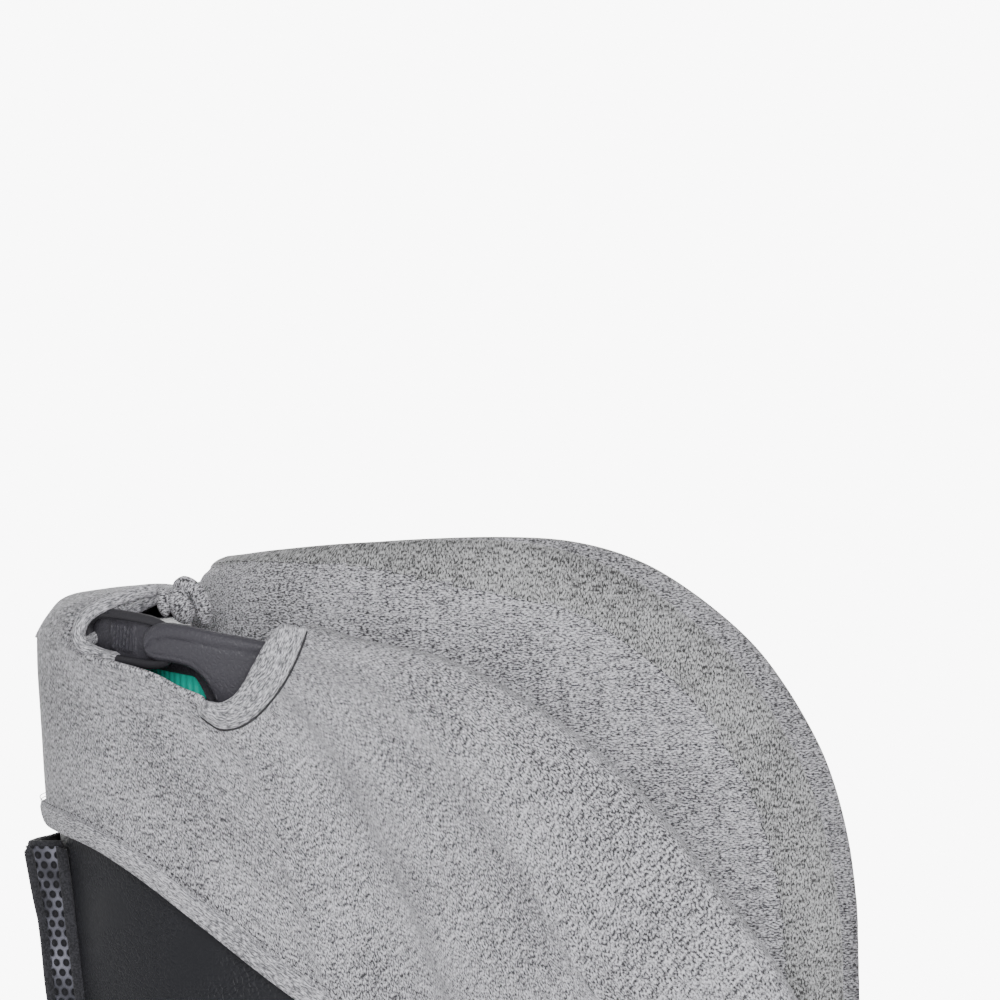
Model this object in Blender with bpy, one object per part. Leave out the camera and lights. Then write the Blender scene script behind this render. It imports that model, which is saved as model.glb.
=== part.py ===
"""Convertible car seat: bucket shell on a cradle base, with a sliding headrest, harness and ISOFIX arms.

Metres, +Z up, front of the seat at -Y, origin at the middle of the base's underside.
"""

import math

import bmesh
import bpy
import numpy as np

# Driving dimensions
COVER_GAP = 0.0030              # between the shell and its outer cover, whose facets differ
LINING_GAP = 0.0022             # and between the shell and its lining
FAN_CENTRE = (-0.20, 0.66)      # y, z that all the shell's sections fan out from
SECTION_POWER = 3.0             # how square the shell's sections are
SHELL_HALF_WIDTH = 0.212
SHELL_WALL = 0.004
COVER_OUT = 0.007               # outer face of the cover, measured out from the shell's outside
LINING = 0.018                  # inner face of the lining, measured in from the shell's outside
RECLINE_AXIS = (0.0, 0.50)      # y, z of the centre of the recline arcs
RUNNER_RADIUS = 0.408
CRADLE_RADIUS = 0.4096
BASE_HALF_WIDTH = 0.205
BASE_LENGTH = 0.52
SLIDE_LEAN = 0.2084             # headrest runs back this much for each metre up
ARM_SPACING = 0.28              # between the two ISOFIX arms
HEADREST_HALF_WIDTH = 0.176
HEADREST_REAR = 0.2435
HEADREST_FRONT = -0.100
HEADREST_LEAN = 0.27            # the lower back's lean, a little more than the slide's
HEADREST_THICK = 0.040
HANDLE_TOP = 0.618              # top of the handle bar at the rear
HANDLE_CORNER = 0.250           # y from where its arms slope down forwards
HANDLE_SLOPE = 0.16
LEAN_TOP = 0.552                # below this the headrest's back leans
LEAN_FROM = 0.0                 # y where the lean starts
LEAN_SPAN = 0.15                # and over how far back from there it grows to the full
HEADREST_SKIN = 0.004
HEADREST_WALL = 0.004
HEADREST_GAP = 0.0010           # between its back shell and the cover's pocket
SIDES = (("left", -1), ("right", 1))

# Side outlines, as (y, z) from the top down and round to the front
SHELL_BACK = [(0.316, 0.66), (0.316, 0.60), (0.314, 0.54), (0.310, 0.486), (0.303, 0.41), (0.290, 0.30),
              (0.266, 0.22), (0.222, 0.171), (0.16, 0.145), (0.05, 0.130), (-0.10, 0.130), (-0.18, 0.150),
              (-0.24, 0.180), (-0.275, 0.215), (-0.285, 0.26)]
WING_RIM = [(0.175, 0.65), (0.168, 0.6175), (0.131, 0.6075), (0.101, 0.60), (0.071, 0.585), (0.041, 0.565),
            (0.001, 0.53), (-0.039, 0.48), (-0.069, 0.44), (-0.095, 0.39), (-0.125, 0.345), (-0.17, 0.31),
            (-0.23, 0.285), (-0.272, 0.262), (-0.285, 0.262)]
COVER_HEM = [(-0.40, 0.259), (-0.275, 0.259), (-0.245, 0.263), (-0.20, 0.270), (-0.10, 0.294), (0.0, 0.333),
             (0.10, 0.385), (0.171, 0.43), (0.221, 0.4675), (0.256, 0.493), (0.285, 0.508), (0.3285, 0.518), (0.40, 0.53)]
SHELL_TOP = [(0.02, 0.545), (0.06, 0.560), (0.10, 0.556), (0.168, 0.5375), (0.225, 0.5375), (0.255, 0.556),
             (0.285, 0.570), (0.40, 0.572)]
COLLAR_TOP = [(0.0, 0.622), (0.40, 0.622)]
COLLAR_FOOT = [(0.0, 0.594), (0.40, 0.594)]
COVER_TOP = [(0.10, 0.6175), (0.168, 0.6175), (0.176, 0.5975), (0.186, 0.580), (0.2035, 0.5675),
             (0.216, 0.580), (0.246, 0.594), (0.2735, 0.600), (0.290, 0.610), (0.305, 0.620), (0.40, 0.621)]
HEADREST_TOP = [(-0.1005, 0.405), (-0.0995, 0.440), (-0.098, 0.465), (-0.094, 0.495), (-0.0865, 0.525),
                (-0.0765, 0.55), (-0.059, 0.58), (-0.039, 0.605), (-0.009, 0.63), (0.021, 0.6475), (0.056, 0.6575), (0.096, 0.660), (0.151, 0.6585),
                (0.20, 0.655), (0.25, 0.650)]
HEADREST_HEM = [(-0.1005, 0.375), (-0.094, 0.360), (-0.06, 0.365), (-0.02, 0.395), (0.036, 0.44), (0.079, 0.472),
                (0.092, 0.482), (0.126, 0.5095), (0.162, 0.532), (0.202, 0.548), (0.25, 0.552)]


# Helpers
def clear_scene():
    for old in list(bpy.data.objects):
        bpy.data.objects.remove(old, do_unlink=True)


def make_collection(name):
    made = bpy.data.collections.new(name)
    bpy.context.scene.collection.children.link(made)
    return made


def make_material(name, colour, roughness, metallic=0.0):
    made = bpy.data.materials.new(name)
    made.use_nodes = True
    shader = made.node_tree.nodes["Principled BSDF"]
    shader.inputs["Base Color"].default_value = (*colour, 1.0)
    shader.inputs["Roughness"].default_value = roughness
    shader.inputs["Metallic"].default_value = metallic
    made.diffuse_color = (*colour, 1.0)
    return made


clear_scene()
SEAT = make_collection("convertible_car_seat")
CUTTERS = make_collection("cutters")
PLASTIC = make_material("shell_plastic", (0.028, 0.029, 0.033), 0.55)
HANDLE_PLASTIC = make_material("handle_plastic", (0.05, 0.05, 0.055), 0.45)
FABRIC = make_material("melange_fabric", (0.33, 0.33, 0.35), 0.95)
PAD_FABRIC = make_material("pad_fabric", (0.10, 0.10, 0.11), 0.95)
MESH = make_material("pocket_mesh", (0.02, 0.02, 0.025), 0.9)
GREEN = make_material("lever_green", (0.03, 0.40, 0.27), 0.35)
RED = make_material("button_red", (0.60, 0.03, 0.03), 0.4)
STEEL = make_material("plated_steel", (0.55, 0.56, 0.58), 0.3, 1.0)
RUBBER = make_material("rubber", (0.02, 0.02, 0.02), 0.8)
WEBBING = make_material("webbing", (0.03, 0.03, 0.035), 0.8)


def link(name, mesh, material, collection=None):
    made = bpy.data.objects.new(name, mesh)
    (collection or SEAT).objects.link(made)
    mesh.materials.clear()
    mesh.materials.append(material)
    return made


def from_bmesh(name, bm, material, smooth=True, collection=None):
    bmesh.ops.recalc_face_normals(bm, faces=bm.faces)
    if bm.calc_volume(signed=True) < 0:
        bmesh.ops.reverse_faces(bm, faces=bm.faces)
    mesh = bpy.data.meshes.new(name)
    bm.to_mesh(mesh)
    bm.free()
    if smooth:
        mesh.shade_smooth()
        mesh.set_sharp_from_angle(angle=math.radians(35))
    return link(name, mesh, material, collection)


def loft(name, rings, material):
    """A closed solid through rings of equal point counts, with its two ends capped."""
    bm = bmesh.new()
    rows = [[bm.verts.new(point) for point in ring] for ring in rings]
    for low, high in zip(rows, rows[1:]):
        for i in range(len(low)):
            j = (i + 1) % len(low)
            bm.faces.new((low[i], low[j], high[j], high[i]))
    bm.faces.new(rows[0][::-1])
    bm.faces.new(rows[-1])
    return from_bmesh(name, bm, material)


def box(name, size, centre, material, bevel=0.003, segments=2, turn=(0, 0, 0), collection=None):
    """A rounded block, modelled about its own middle and then placed."""
    bm = bmesh.new()
    bmesh.ops.create_cube(bm, size=1)
    bmesh.ops.scale(bm, vec=size, verts=bm.verts)
    if bevel:
        bmesh.ops.bevel(bm, geom=bm.edges, offset=bevel, segments=segments, profile=0.5, affect="EDGES")
    made = from_bmesh(name, bm, material, collection=collection)
    made.location = centre
    made.rotation_euler = turn
    return made


def side_plate(name, outline, x_middle, width, material, bevel=0.0, collection=None):
    """A flat outline of (y, z) points, pushed out along X to the given width."""
    curve = bpy.data.curves.new(name, "CURVE")
    curve.dimensions = "2D"
    curve.fill_mode = "BOTH"
    curve.extrude = width / 2
    spline = curve.splines.new("POLY")
    spline.points.add(len(outline) - 1)
    for point, (y, z) in zip(spline.points, outline):
        point.co = (y, z, 0, 1)
    spline.use_cyclic_u = True
    helper = bpy.data.objects.new(name + "_outline", curve)
    SEAT.objects.link(helper)
    graph = bpy.context.evaluated_depsgraph_get()
    mesh = bpy.data.meshes.new_from_object(helper.evaluated_get(graph))
    bpy.data.objects.remove(helper, do_unlink=True)
    bm = bmesh.new()
    bm.from_mesh(mesh)
    bmesh.ops.remove_doubles(bm, verts=bm.verts, dist=0.00001)
    bmesh.ops.dissolve_limit(bm, angle_limit=0.001, verts=bm.verts, edges=bm.edges)
    if bevel:
        rim = [e for e in bm.edges if e.is_manifold and e.calc_face_angle() > 0.6]
        bmesh.ops.bevel(bm, geom=rim, offset=bevel, segments=2, profile=0.5, affect="EDGES")
    # The curve's plane becomes the seat's side plane: its X is the seat's Y, its Y is the seat's Z.
    for vert in bm.verts:
        vert.co = (vert.co.z, vert.co.x, vert.co.y)
    made = from_bmesh(name, bm, material, collection=collection)
    made.location = (x_middle, 0, 0)
    return made


def tube(name, points, radius, material, resolution=2):
    curve = bpy.data.curves.new(name, "CURVE")
    curve.dimensions = "3D"
    curve.bevel_depth = radius
    curve.bevel_resolution = resolution
    curve.use_fill_caps = True
    spline = curve.splines.new("POLY")
    spline.points.add(len(points) - 1)
    for point, place in zip(spline.points, points):
        point.co = (*place, 1)
    curve.materials.append(material)
    made = bpy.data.objects.new(name, curve)
    SEAT.objects.link(made)
    return made


def coil(name, foot, height, radius, wire, turns, sides=8):
    """A compression spring standing on its foot point, with its axis upright."""
    count = turns * sides
    points = []
    for i in range(count + 1):
        angle = 2 * math.pi * i / sides
        lift = wire + (height - 2 * wire) * i / count
        points.append((foot[0] + radius * math.cos(angle), foot[1] + radius * math.sin(angle), foot[2] + lift))
    return tube(name, points, wire, STEEL, 1)


def recess(target, size, centre, turn=(0, 0, 0)):
    """Cuts a square-edged pocket into the target."""
    boolean(target, box(target.name + "_recess", size, centre, STEEL, bevel=0, turn=turn, collection=CUTTERS))


def boolean(target, cutter, operation="DIFFERENCE"):
    cutter.hide_render = True
    cutter.display_type = "WIRE"
    made = target.modifiers.new("cut", "BOOLEAN")
    made.operation = operation
    made.solver = "EXACT"
    made.object = cutter


def dense(points, per_span=6):
    """The points of a smooth curve through the outline's points."""
    points = [np.array(p, float) for p in points]
    padded = [2 * points[0] - points[1], *points, 2 * points[-1] - points[-2]]
    found = []
    for a, b, c, d in zip(padded, padded[1:], padded[2:], padded[3:]):
        for i in range(per_span):
            t = i / per_span
            found.append(0.5 * (2 * b + (c - a) * t + (2 * a - 5 * b + 4 * c - d) * t ** 2
                                + (3 * b - a - 3 * c + d) * t ** 3))
    found.append(points[-1])
    return np.array(found)


def polar(points):
    """An outline as (angle below the horizontal, distance), seen from the fan's centre."""
    line = dense(points)
    along, down = line[:, 0] - FAN_CENTRE[0], FAN_CENTRE[1] - line[:, 1]
    angle, reach = np.arctan2(down, along), np.hypot(along, down)
    order = np.argsort(angle)
    return angle[order], reach[order]


BACK_POLAR = polar(SHELL_BACK)
RIM_POLAR = polar(WING_RIM)
HEM_LINE = dense(COVER_HEM)
TOP_LINE = dense(COVER_TOP, 4)
SHELL_TOP_LINE = dense(SHELL_TOP)
FRONT_ANGLE = math.radians(101)


def shell_point(angle, t, offset):
    """A point on the shell: t runs from -1, the near rim, through 0, the middle, to 1, the far rim."""
    reach = np.interp(angle, *BACK_POLAR)
    depth = reach - np.interp(angle, *RIM_POLAR)
    nose = min(1.0, max(0.0, (math.degrees(angle) - 72) / 29))
    half_width = SHELL_HALF_WIDTH - 0.006 * abs(math.sin(angle - 0.9)) ** 2 - 0.045 * nose ** 2
    turn = abs(t) * math.pi / 2
    across = math.sin(turn) ** (2 / SECTION_POWER)
    inward = max(math.cos(turn), 0.0) ** (2 / SECTION_POWER)
    normal = np.array([across ** (SECTION_POWER - 1) / half_width, inward ** (SECTION_POWER - 1) / depth])
    normal /= np.linalg.norm(normal)
    side = -1 if t < 0 else 1
    x = side * (half_width * across + offset * normal[0])
    reach = reach - depth * (1 - inward) + offset * normal[1]
    return (x, FAN_CENTRE[0] + reach * math.cos(angle), FAN_CENTRE[1] - reach * math.sin(angle))


def angle_at(line, t):
    """The fan angle at which the shell's line t crosses an outline given as z over y."""
    low, high = math.radians(1), FRONT_ANGLE
    for _ in range(40):
        middle = (low + high) / 2
        _, y, z = shell_point(middle, t, 0)
        if z > np.interp(y, line[:, 0], line[:, 1]):
            low = middle
        else:
            high = middle
    return (low + high) / 2


def even_lines(limits, count, reach=1.0):
    """Values of t from -reach to reach whose lines are evenly spaced along the skin's two ends."""
    fine = reach * np.sin(np.linspace(-math.pi / 2, math.pi / 2, 401))
    ends = np.array([[shell_point(a, t, 0) for a in limits(t)] for t in fine])
    steps = np.linalg.norm(np.diff(ends, axis=0), axis=2).max(axis=1)
    along = np.concatenate([[0], np.cumsum(steps)])
    return np.interp(np.linspace(0, along[-1], count), along, fine)


def skin(name, count, limits, offsets, material, steps=12, reach=1.0):
    """A skin between two offsets from the shell, over the stretch that limits(t) gives."""
    rings = []
    for t in even_lines(limits, count, reach):
        top, bottom = limits(t)
        outer, inner = offsets
        angles = [top + (bottom - top) * i / steps for i in range(steps + 1)]
        ring = [shell_point(a, t, outer) for a in angles]
        ring += [shell_point(a, t, inner) for a in reversed(angles)]
        rings.append(ring)
    return loft(name, rings, material)


def cover_limits(t):
    return angle_at(TOP_LINE, t), angle_at(HEM_LINE, t)


def shell_limits(t):
    return angle_at(SHELL_TOP_LINE, t), FRONT_ANGLE


def collar_limits(t):
    return angle_at(np.array(COLLAR_TOP), t), angle_at(np.array(COLLAR_FOOT), t)


# Seat shell, cover and lining
def build_shell():
    skin("seat_shell", 37, shell_limits, (0.0, -SHELL_WALL), PLASTIC, 16, 0.995)
    skin("shell_cover", 41, cover_limits, (COVER_OUT, COVER_GAP), FABRIC, 12)
    skin("inner_cover", 37, shell_limits, (-SHELL_WALL - LINING_GAP, -LINING), FABRIC, 16, 0.995)


# Paths round the back of the headrest, in plan
def u_path(half_width, rear, front, start, count, power=3.0):
    """Plan points of a U and their outward normals, from the near front tip round to the far one."""
    def rear_curve(turn):
        across = math.sin(turn) ** (2 / power)
        along = math.cos(turn) ** (2 / power)
        out = np.array([across ** (power - 1) / half_width, along ** (power - 1) / (rear - start)])
        out /= np.linalg.norm(out)
        return half_width * across, start + (rear - start) * along, out

    straight = max(2, int((start - front) / 0.022))
    near = [(half_width, front + (start - front) * i / straight, np.array([1.0, 0.0])) for i in range(straight)]
    near += [rear_curve(math.pi / 2 * (1 - i / count)) for i in range(count)]
    middle = [rear_curve(0.0)]
    points = [(-x, y, (-n[0], n[1])) for x, y, n in near]
    points += [(x, y, (n[0], n[1])) for x, y, n in middle]
    points += [(x, y, (n[0], n[1])) for x, y, n in reversed(near)]
    return points


def sweep(name, path, section, material, lean=0.0):
    """A section of (outward, z) points carried along a plan path. Its rear leans forwards below LEAN_TOP."""
    rings = []
    for x, y, normal in path:
        share = lean * min(1.0, max(0.0, (y - LEAN_FROM) / LEAN_SPAN))
        rings.append([(x + normal[0] * out, y + normal[1] * out + share * min(0.0, z - LEAN_TOP), z)
                      for out, z in section(y)])
    return loft(name, rings, material)


def line_value(points, y):
    return float(np.interp(y, [p[0] for p in points], [p[1] for p in points]))


def slide_y(z, in_front=0.0):
    """The y of the headrest's slide plane at height z, or of a plane that far in front of it."""
    return HEADREST_REAR - 0.0455 + SLIDE_LEAN * (z - 0.415) - in_front


def ribbon(line, thickness):
    """The outline of a strap of that thickness whose rear face follows the line of (y, z) points."""
    line = [np.array(p, float) for p in line]
    front = []
    for i, point in enumerate(line):
        before, after = line[max(i - 1, 0)], line[min(i + 1, len(line) - 1)]
        run = (after - before) / np.linalg.norm(after - before)
        front.append(point + thickness * np.array([run[1], -run[0]]))
    return [tuple(p) for p in line] + [tuple(p) for p in reversed(front)]


def arc_points(radius, low, high, count):
    """Points on a circle round the recline axis. Angles run from straight down, forwards positive."""
    found = []
    for i in range(count + 1):
        angle = math.radians(low + (high - low) * i / count)
        found.append((RECLINE_AXIS[0] - radius * math.sin(angle), RECLINE_AXIS[1] - radius * math.cos(angle)))
    return found


# Headrest
def headrest_path():
    tips = [0.0, 0.0015, 0.005, 0.011]
    body = u_path(HEADREST_HALF_WIDTH, HEADREST_REAR, HEADREST_FRONT + 0.020, 0.05, 9)
    near = [(-HEADREST_HALF_WIDTH, HEADREST_FRONT + tip, (-1.0, 0.0)) for tip in tips]
    far = [(HEADREST_HALF_WIDTH, HEADREST_FRONT + tip, (1.0, 0.0)) for tip in reversed(tips)]
    return near + body + far


def headrest_cover_section(y):
    top, hem = line_value(HEADREST_TOP, y), line_value(HEADREST_HEM, y)
    r = min(0.014, (top - hem) / 3)
    mid = min(max(LEAN_TOP, hem + 0.004), top - r - 0.004)
    bottom = hem - 0.002 - 0.098 * min(1.0, max(0.0, (y + 0.02) / 0.09))
    bottom = max(bottom, 0.447) if y > 0.12 else bottom
    slot = top - 0.022 if y > -0.02 else hem + 0.001
    slot_mid = min(mid, slot)
    inner = -HEADREST_THICK
    wall_in = -HEADREST_SKIN - HEADREST_WALL - 2 * HEADREST_GAP
    return [(0, hem), (0.001, mid), (-0.002, top - r), (-0.3 * r, top - 0.3 * r), (-r - 0.002, top),
            (inner + r, top), (inner + 0.3 * r, top - 0.3 * r), (inner, top - r), (inner, mid),
            (inner, bottom), (wall_in, bottom), (wall_in, slot_mid - 0.0005), (wall_in, slot),
            (-HEADREST_SKIN, slot), (-HEADREST_SKIN, slot_mid - 0.0005), (-HEADREST_SKIN, hem)]


def headrest_shell_section(y):
    top = line_value(HEADREST_TOP, y) - 0.022 - HEADREST_GAP
    bottom = max(line_value(HEADREST_HEM, y) - 0.10, 0.415)
    outer = -HEADREST_SKIN - HEADREST_GAP
    inner = outer - HEADREST_WALL
    return [(outer, bottom), (outer, LEAN_TOP), (outer, top), (inner, top), (inner, LEAN_TOP), (inner, bottom)]


def leaning_plate(name, low, high, in_front, thickness, width, x, material, bevel=0.0):
    """A plate parallel to the headrest's slide, between two heights."""
    outline = [(slide_y(low, in_front), low), (slide_y(high, in_front), high),
               (slide_y(high, in_front + thickness), high), (slide_y(low, in_front + thickness), low)]
    return side_plate(name, outline, x, width, material, bevel)


def leaning_rod(name, low, high, behind, radius, x, material):
    ends = [(x, slide_y(z, -behind), z) for z in (low, high)]
    return tube(name, ends, radius, material, 3)


def build_headrest():
    path = headrest_path()
    sweep("headrest_cover", path, headrest_cover_section, FABRIC, HEADREST_LEAN)
    sweep("headrest_shell", [p for p in path if p[1] > -0.012], headrest_shell_section, PLASTIC, HEADREST_LEAN)
    leaning_plate("headrest_carriage", 0.215, 0.412, 0.0, 0.006, 0.20, 0, PLASTIC, 0.001)
    for side, x in SIDES:
        leaning_rod("guide_rod_" + side, 0.20, 0.41, 0.0075, 0.005, 0.075 * x, STEEL)
    leaning_plate("headrest_rack", 0.215, 0.405, -0.0050, 0.0045, 0.02, 0, STEEL)
    pillow_back = HEADREST_REAR - HEADREST_THICK - 0.014
    pillow = ribbon([(pillow_back - HEADREST_LEAN * 0.084, LEAN_TOP - 0.084), (pillow_back, LEAN_TOP),
                     (pillow_back, 0.605)], -0.018)
    side_plate("head_pillow", pillow, 0, 0.17, PAD_FABRIC, 0.006)


# Handle on the shell's top rear
def handle_drop(y):
    """How far the handle's arms have come down at this y, below its rear corners."""
    return HANDLE_SLOPE * max(0.0, HANDLE_CORNER - y)


def build_handle():
    def bar_section(y):
        top = HANDLE_TOP - handle_drop(y)
        foot = top - 0.023 - 0.030 * min(1.0, max(0.0, (0.226 - y) / 0.02))
        slot = top - 0.007 if y > 0.205 else foot + 0.001
        return [(0.007, foot), (0.007, top - 0.009), (0.005, top), (-0.004, top), (-0.007, top - 0.009),
                (-0.007, foot), (-0.005, foot), (-0.005, slot), (0.005, slot), (0.005, foot)]

    def lever_section(y):
        top = HANDLE_TOP - handle_drop(y) - 0.0185
        return [(0.0036, top - 0.0155), (0.0036, top), (-0.0036, top), (-0.0036, top - 0.0155)]

    arms = u_path(0.180, 0.266, 0.172, 0.175, 14)
    sweep("handle_bar", arms, bar_section, HANDLE_PLASTIC)
    sweep("adjuster_lever", [p for p in arms if p[1] > 0.2155], lever_section, GREEN)
    skin("handle_collar", 25, collar_limits, (-0.0105, -0.0170), HANDLE_PLASTIC, 2, 0.64)
    box("grip_pad", (0.050, 0.003, 0.014), (0, 0.2950, 0.607), HANDLE_PLASTIC, bevel=0.001)
    for side, x in SIDES:
        box("handle_foot_" + side, (0.016, 0.036, 0.010), (0.181 * x, 0.196, 0.5465), HANDLE_PLASTIC, bevel=0.002)
    leaning_plate("lock_pawl", 0.372, 0.384, -0.017, 0.0115, 0.024, 0, STEEL)
    flap = dense([(0.3222, 0.6248), (0.3165, 0.6278), (0.306, 0.6300), (0.292, 0.6325), (0.275, 0.6325),
                  (0.2635, 0.6295), (0.2605, 0.624)], 4)
    side_plate("cover_flap", ribbon(flap, -0.004), 0, 0.20, FABRIC)
    coil("lever_spring", (0, 0.2661, 0.6002), 0.0103, 0.0030, 0.0006, 4)


# Back of the shell
def build_back():
    leaning_plate("backrest_panel", 0.212, 0.432, 0.0065, 0.005, 0.27, 0, PLASTIC, 0.001)
    leaning_plate("backrest_pad", 0.222, 0.434, 0.0125, 0.034, 0.25, 0, FABRIC, 0.009)
    for side, x in SIDES:
        guide = leaning_plate("rod_guide_" + side, 0.385, 0.405, -0.030, 0.0285, 0.03, 0.075 * x, PLASTIC, 0.001)
        bore = leaning_rod("rod_bore_" + side, 0.36, 0.43, 0.0075, 0.0062, 0.075 * x, STEEL)
        boolean(guide, mesh_from_curve(bore))
    box("splitter_plate", (0.06, 0.003, 0.045), (0, 0.240, 0.30), STEEL, bevel=0.001)
    build_pocket()


def build_pocket():
    """A pouch open at the top: its panel stands off the shell, and its gussets run back to it."""
    half, wall = 0.105, 0.002
    rings = []
    for shell_side, panel, z in ((0.2865, 0.3025, 0.362), (0.2915, 0.3125, 0.4075), (0.2990, 0.3290, 0.465),
                                 (0.3035, 0.3395, 0.502)):
        outside = [(-half, shell_side), (-half, panel - 0.006), (-half + 0.006, panel), (half - 0.006, panel),
                   (half, panel - 0.006), (half, shell_side)]
        inside = [(half - wall, shell_side), (half - wall, panel - 0.006), (half - 0.007, panel - wall),
                  (-half + 0.007, panel - wall), (-half + wall, panel - 0.006), (-half + wall, shell_side)]
        rings.append([(x, y, z) for x, y in outside + inside])
    loft("storage_pocket", rings, MESH)


def mesh_from_curve(curve_object):
    """The curve object made a closed mesh, as a cutter."""
    graph = bpy.context.evaluated_depsgraph_get()
    mesh = bpy.data.meshes.new_from_object(curve_object.evaluated_get(graph))
    name, place = curve_object.name, curve_object.matrix_world.copy()
    bpy.data.objects.remove(curve_object, do_unlink=True)
    bm = bmesh.new()
    bm.from_mesh(mesh)
    bmesh.ops.remove_doubles(bm, verts=bm.verts, dist=0.00001)
    made = from_bmesh(name, bm, STEEL, collection=CUTTERS)
    made.matrix_world = place
    return made


# Seat and harness
def build_seat():
    seat_top = [(0.110, 0.200), (0.02, 0.205), (-0.08, 0.213), (-0.16, 0.226), (-0.208, 0.240)]
    seat_bottom = [(-0.216, 0.226), (-0.20, 0.204), (-0.16, 0.187), (-0.09, 0.172), (0.02, 0.168), (0.115, 0.178)]
    side_plate("seat_pad", seat_top + seat_bottom, 0, 0.22, FABRIC, 0.006)
    strap_line = [(slide_y(0.4405, 0.030), 0.4405), (slide_y(0.439, 0.050), 0.439), (slide_y(0.425, 0.0535), 0.425),
                  (slide_y(0.30, 0.0535), 0.30), (0.075, 0.252), (0.022, 0.236)]
    for side, x in SIDES:
        side_plate("shoulder_strap_" + side, ribbon(strap_line, -0.0018), 0.055 * x, 0.038, WEBBING)
        leaning_plate("shoulder_pad_" + side, 0.325, 0.422, 0.0562, 0.012, 0.056, 0.055 * x, PAD_FABRIC, 0.004)
        box("buckle_tongue_" + side, (0.040, 0.030, 0.0025), (0.048 * x, 0.005, 0.2335), STEEL, bevel=0.0006)
        box("lap_strap_" + side, (0.075, 0.030, 0.0018), (0.122 * x, 0.030, 0.2345), WEBBING, bevel=0,
                    turn=(0, -0.25 * x, 0))
    tilt = (0.12, 0, 0)
    buckle = box("buckle_body", (0.052, 0.050, 0.022), (0, -0.020, 0.2305), PLASTIC, bevel=0.004, turn=tilt)
    recess(buckle, (0.031, 0.023, 0.008), (0, -0.0245, 0.2412), tilt)
    box("buckle_button", (0.030, 0.022, 0.006), (0, -0.0245, 0.2425), RED, bevel=0.0015, turn=tilt)
    box("crotch_pad", (0.060, 0.090, 0.010), (0, -0.093, 0.2375), PAD_FABRIC, bevel=0.004, turn=(-0.16, 0, 0))
    adjuster = box("harness_adjuster", (0.036, 0.030, 0.018), (0, -0.238, 0.2285), PLASTIC, bevel=0.003)
    recess(adjuster, (0.025, 0.019, 0.010), (0, -0.238, 0.2370))
    box("adjuster_button", (0.024, 0.018, 0.006), (0, -0.238, 0.2385), HANDLE_PLASTIC, bevel=0.001)
    hidden = ribbon([(0.2375, 0.276), (0.225, 0.228), (0.195, 0.200), (0.15, 0.184), (0.124, 0.180)], -0.0018)
    side_plate("adjuster_strap", hidden, 0, 0.036, WEBBING)


# Base
def build_base():
    half = BASE_LENGTH / 2
    cradle = arc_points(CRADLE_RADIUS, -37, 37, 24)
    outline = [(-half, 0.004), (-half, 0.12), *[p for p in reversed(cradle) if abs(p[0]) < half - 0.012],
               (half, 0.12), (half, 0.004)]
    housing = side_plate("base_housing", outline, 0, 2 * BASE_HALF_WIDTH, PLASTIC, 0.004)
    wall = 0.004
    floor_of_cradle = arc_points(CRADLE_RADIUS + wall, -35, 35, 24)
    hollow = [(-half + wall, -0.02), (-half + wall, 0.115),
              *[p for p in reversed(floor_of_cradle) if abs(p[0]) < half - 0.022], (half - wall, 0.115),
              (half - wall, -0.02)]
    boolean(housing, side_plate("base_hollow", hollow, 0, 2 * BASE_HALF_WIDTH - 2 * wall, PLASTIC,
                                collection=CUTTERS))
    box("base_plate", (0.398, 0.508, 0.003), (0, 0, 0.0055), PLASTIC, bevel=0)
    for name, y in (("rubber_foot_front", -0.22), ("rubber_foot_middle", 0), ("rubber_foot_rear", 0.22)):
        box(name, (0.36, 0.04, 0.0034), (0, y, 0.0017), RUBBER, bevel=0)
    for side, x in SIDES:
        along = ARM_SPACING / 2 * x
        box("isofix_arm_" + side, (0.026, 0.3467, 0.012), (along, 0.0892, 0.032), STEEL, bevel=0.001)
        slot = box("arm_slot_" + side, (0.030, 0.06, 0.018), (along, half, 0.032), STEEL, bevel=0,
                   collection=CUTTERS)
        boolean(housing, slot)
        head = box("isofix_connector_" + side, (0.030, 0.055, 0.026), (along, 0.2905, 0.032), PLASTIC, bevel=0.003)
        recess(head, (0.012, 0.036, 0.014), (along, 0.313, 0.031))
        recess(head, (0.0128, 0.0188, 0.010), (along, 0.280, 0.046))
        box("isofix_button_" + side, (0.012, 0.018, 0.005), (along, 0.280, 0.0455), RED, bevel=0.001)
        box("isofix_jaw_" + side, (0.004, 0.014, 0.005), (along, 0.3035, 0.0280), STEEL, bevel=0)
        runner = arc_points(RUNNER_RADIUS, -32, 32, 20) + arc_points(RUNNER_RADIUS - 0.010, -32, 32, 20)[::-1]
        side_plate("recline_runner_" + side, runner, 0.085 * x, 0.022, STEEL)
    box("isofix_cross_bar", (ARM_SPACING - 0.030, 0.020, 0.010), (0, -0.06, 0.032), STEEL, bevel=0.001)
    window = box("handle_window", (0.11, 0.03, 0.022), (0, -half, 0.085), STEEL, bevel=0, collection=CUTTERS)
    boolean(housing, window)
    box("recline_handle", (0.10, 0.050, 0.016), (0, -0.250, 0.085), HANDLE_PLASTIC, bevel=0.004)
    box("recline_lock_pin", (0.012, 0.012, 0.030), (0, -0.15, 0.085), STEEL, bevel=0)
    coil("recline_spring", (0, -0.15, 0.0450), 0.0245, 0.0045, 0.0008, 4)


def main():
    build_shell()
    build_headrest()
    build_handle()
    build_back()
    build_seat()
    build_base()


main()
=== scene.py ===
# Looks of a convertible car seat: knit covers, padded parts, webbing, moulded plastic and its studio.
import math

import bmesh
import bpy
import numpy as np
from mathutils import Matrix, Vector, noise
from mathutils.bvhtree import BVHTree


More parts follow.
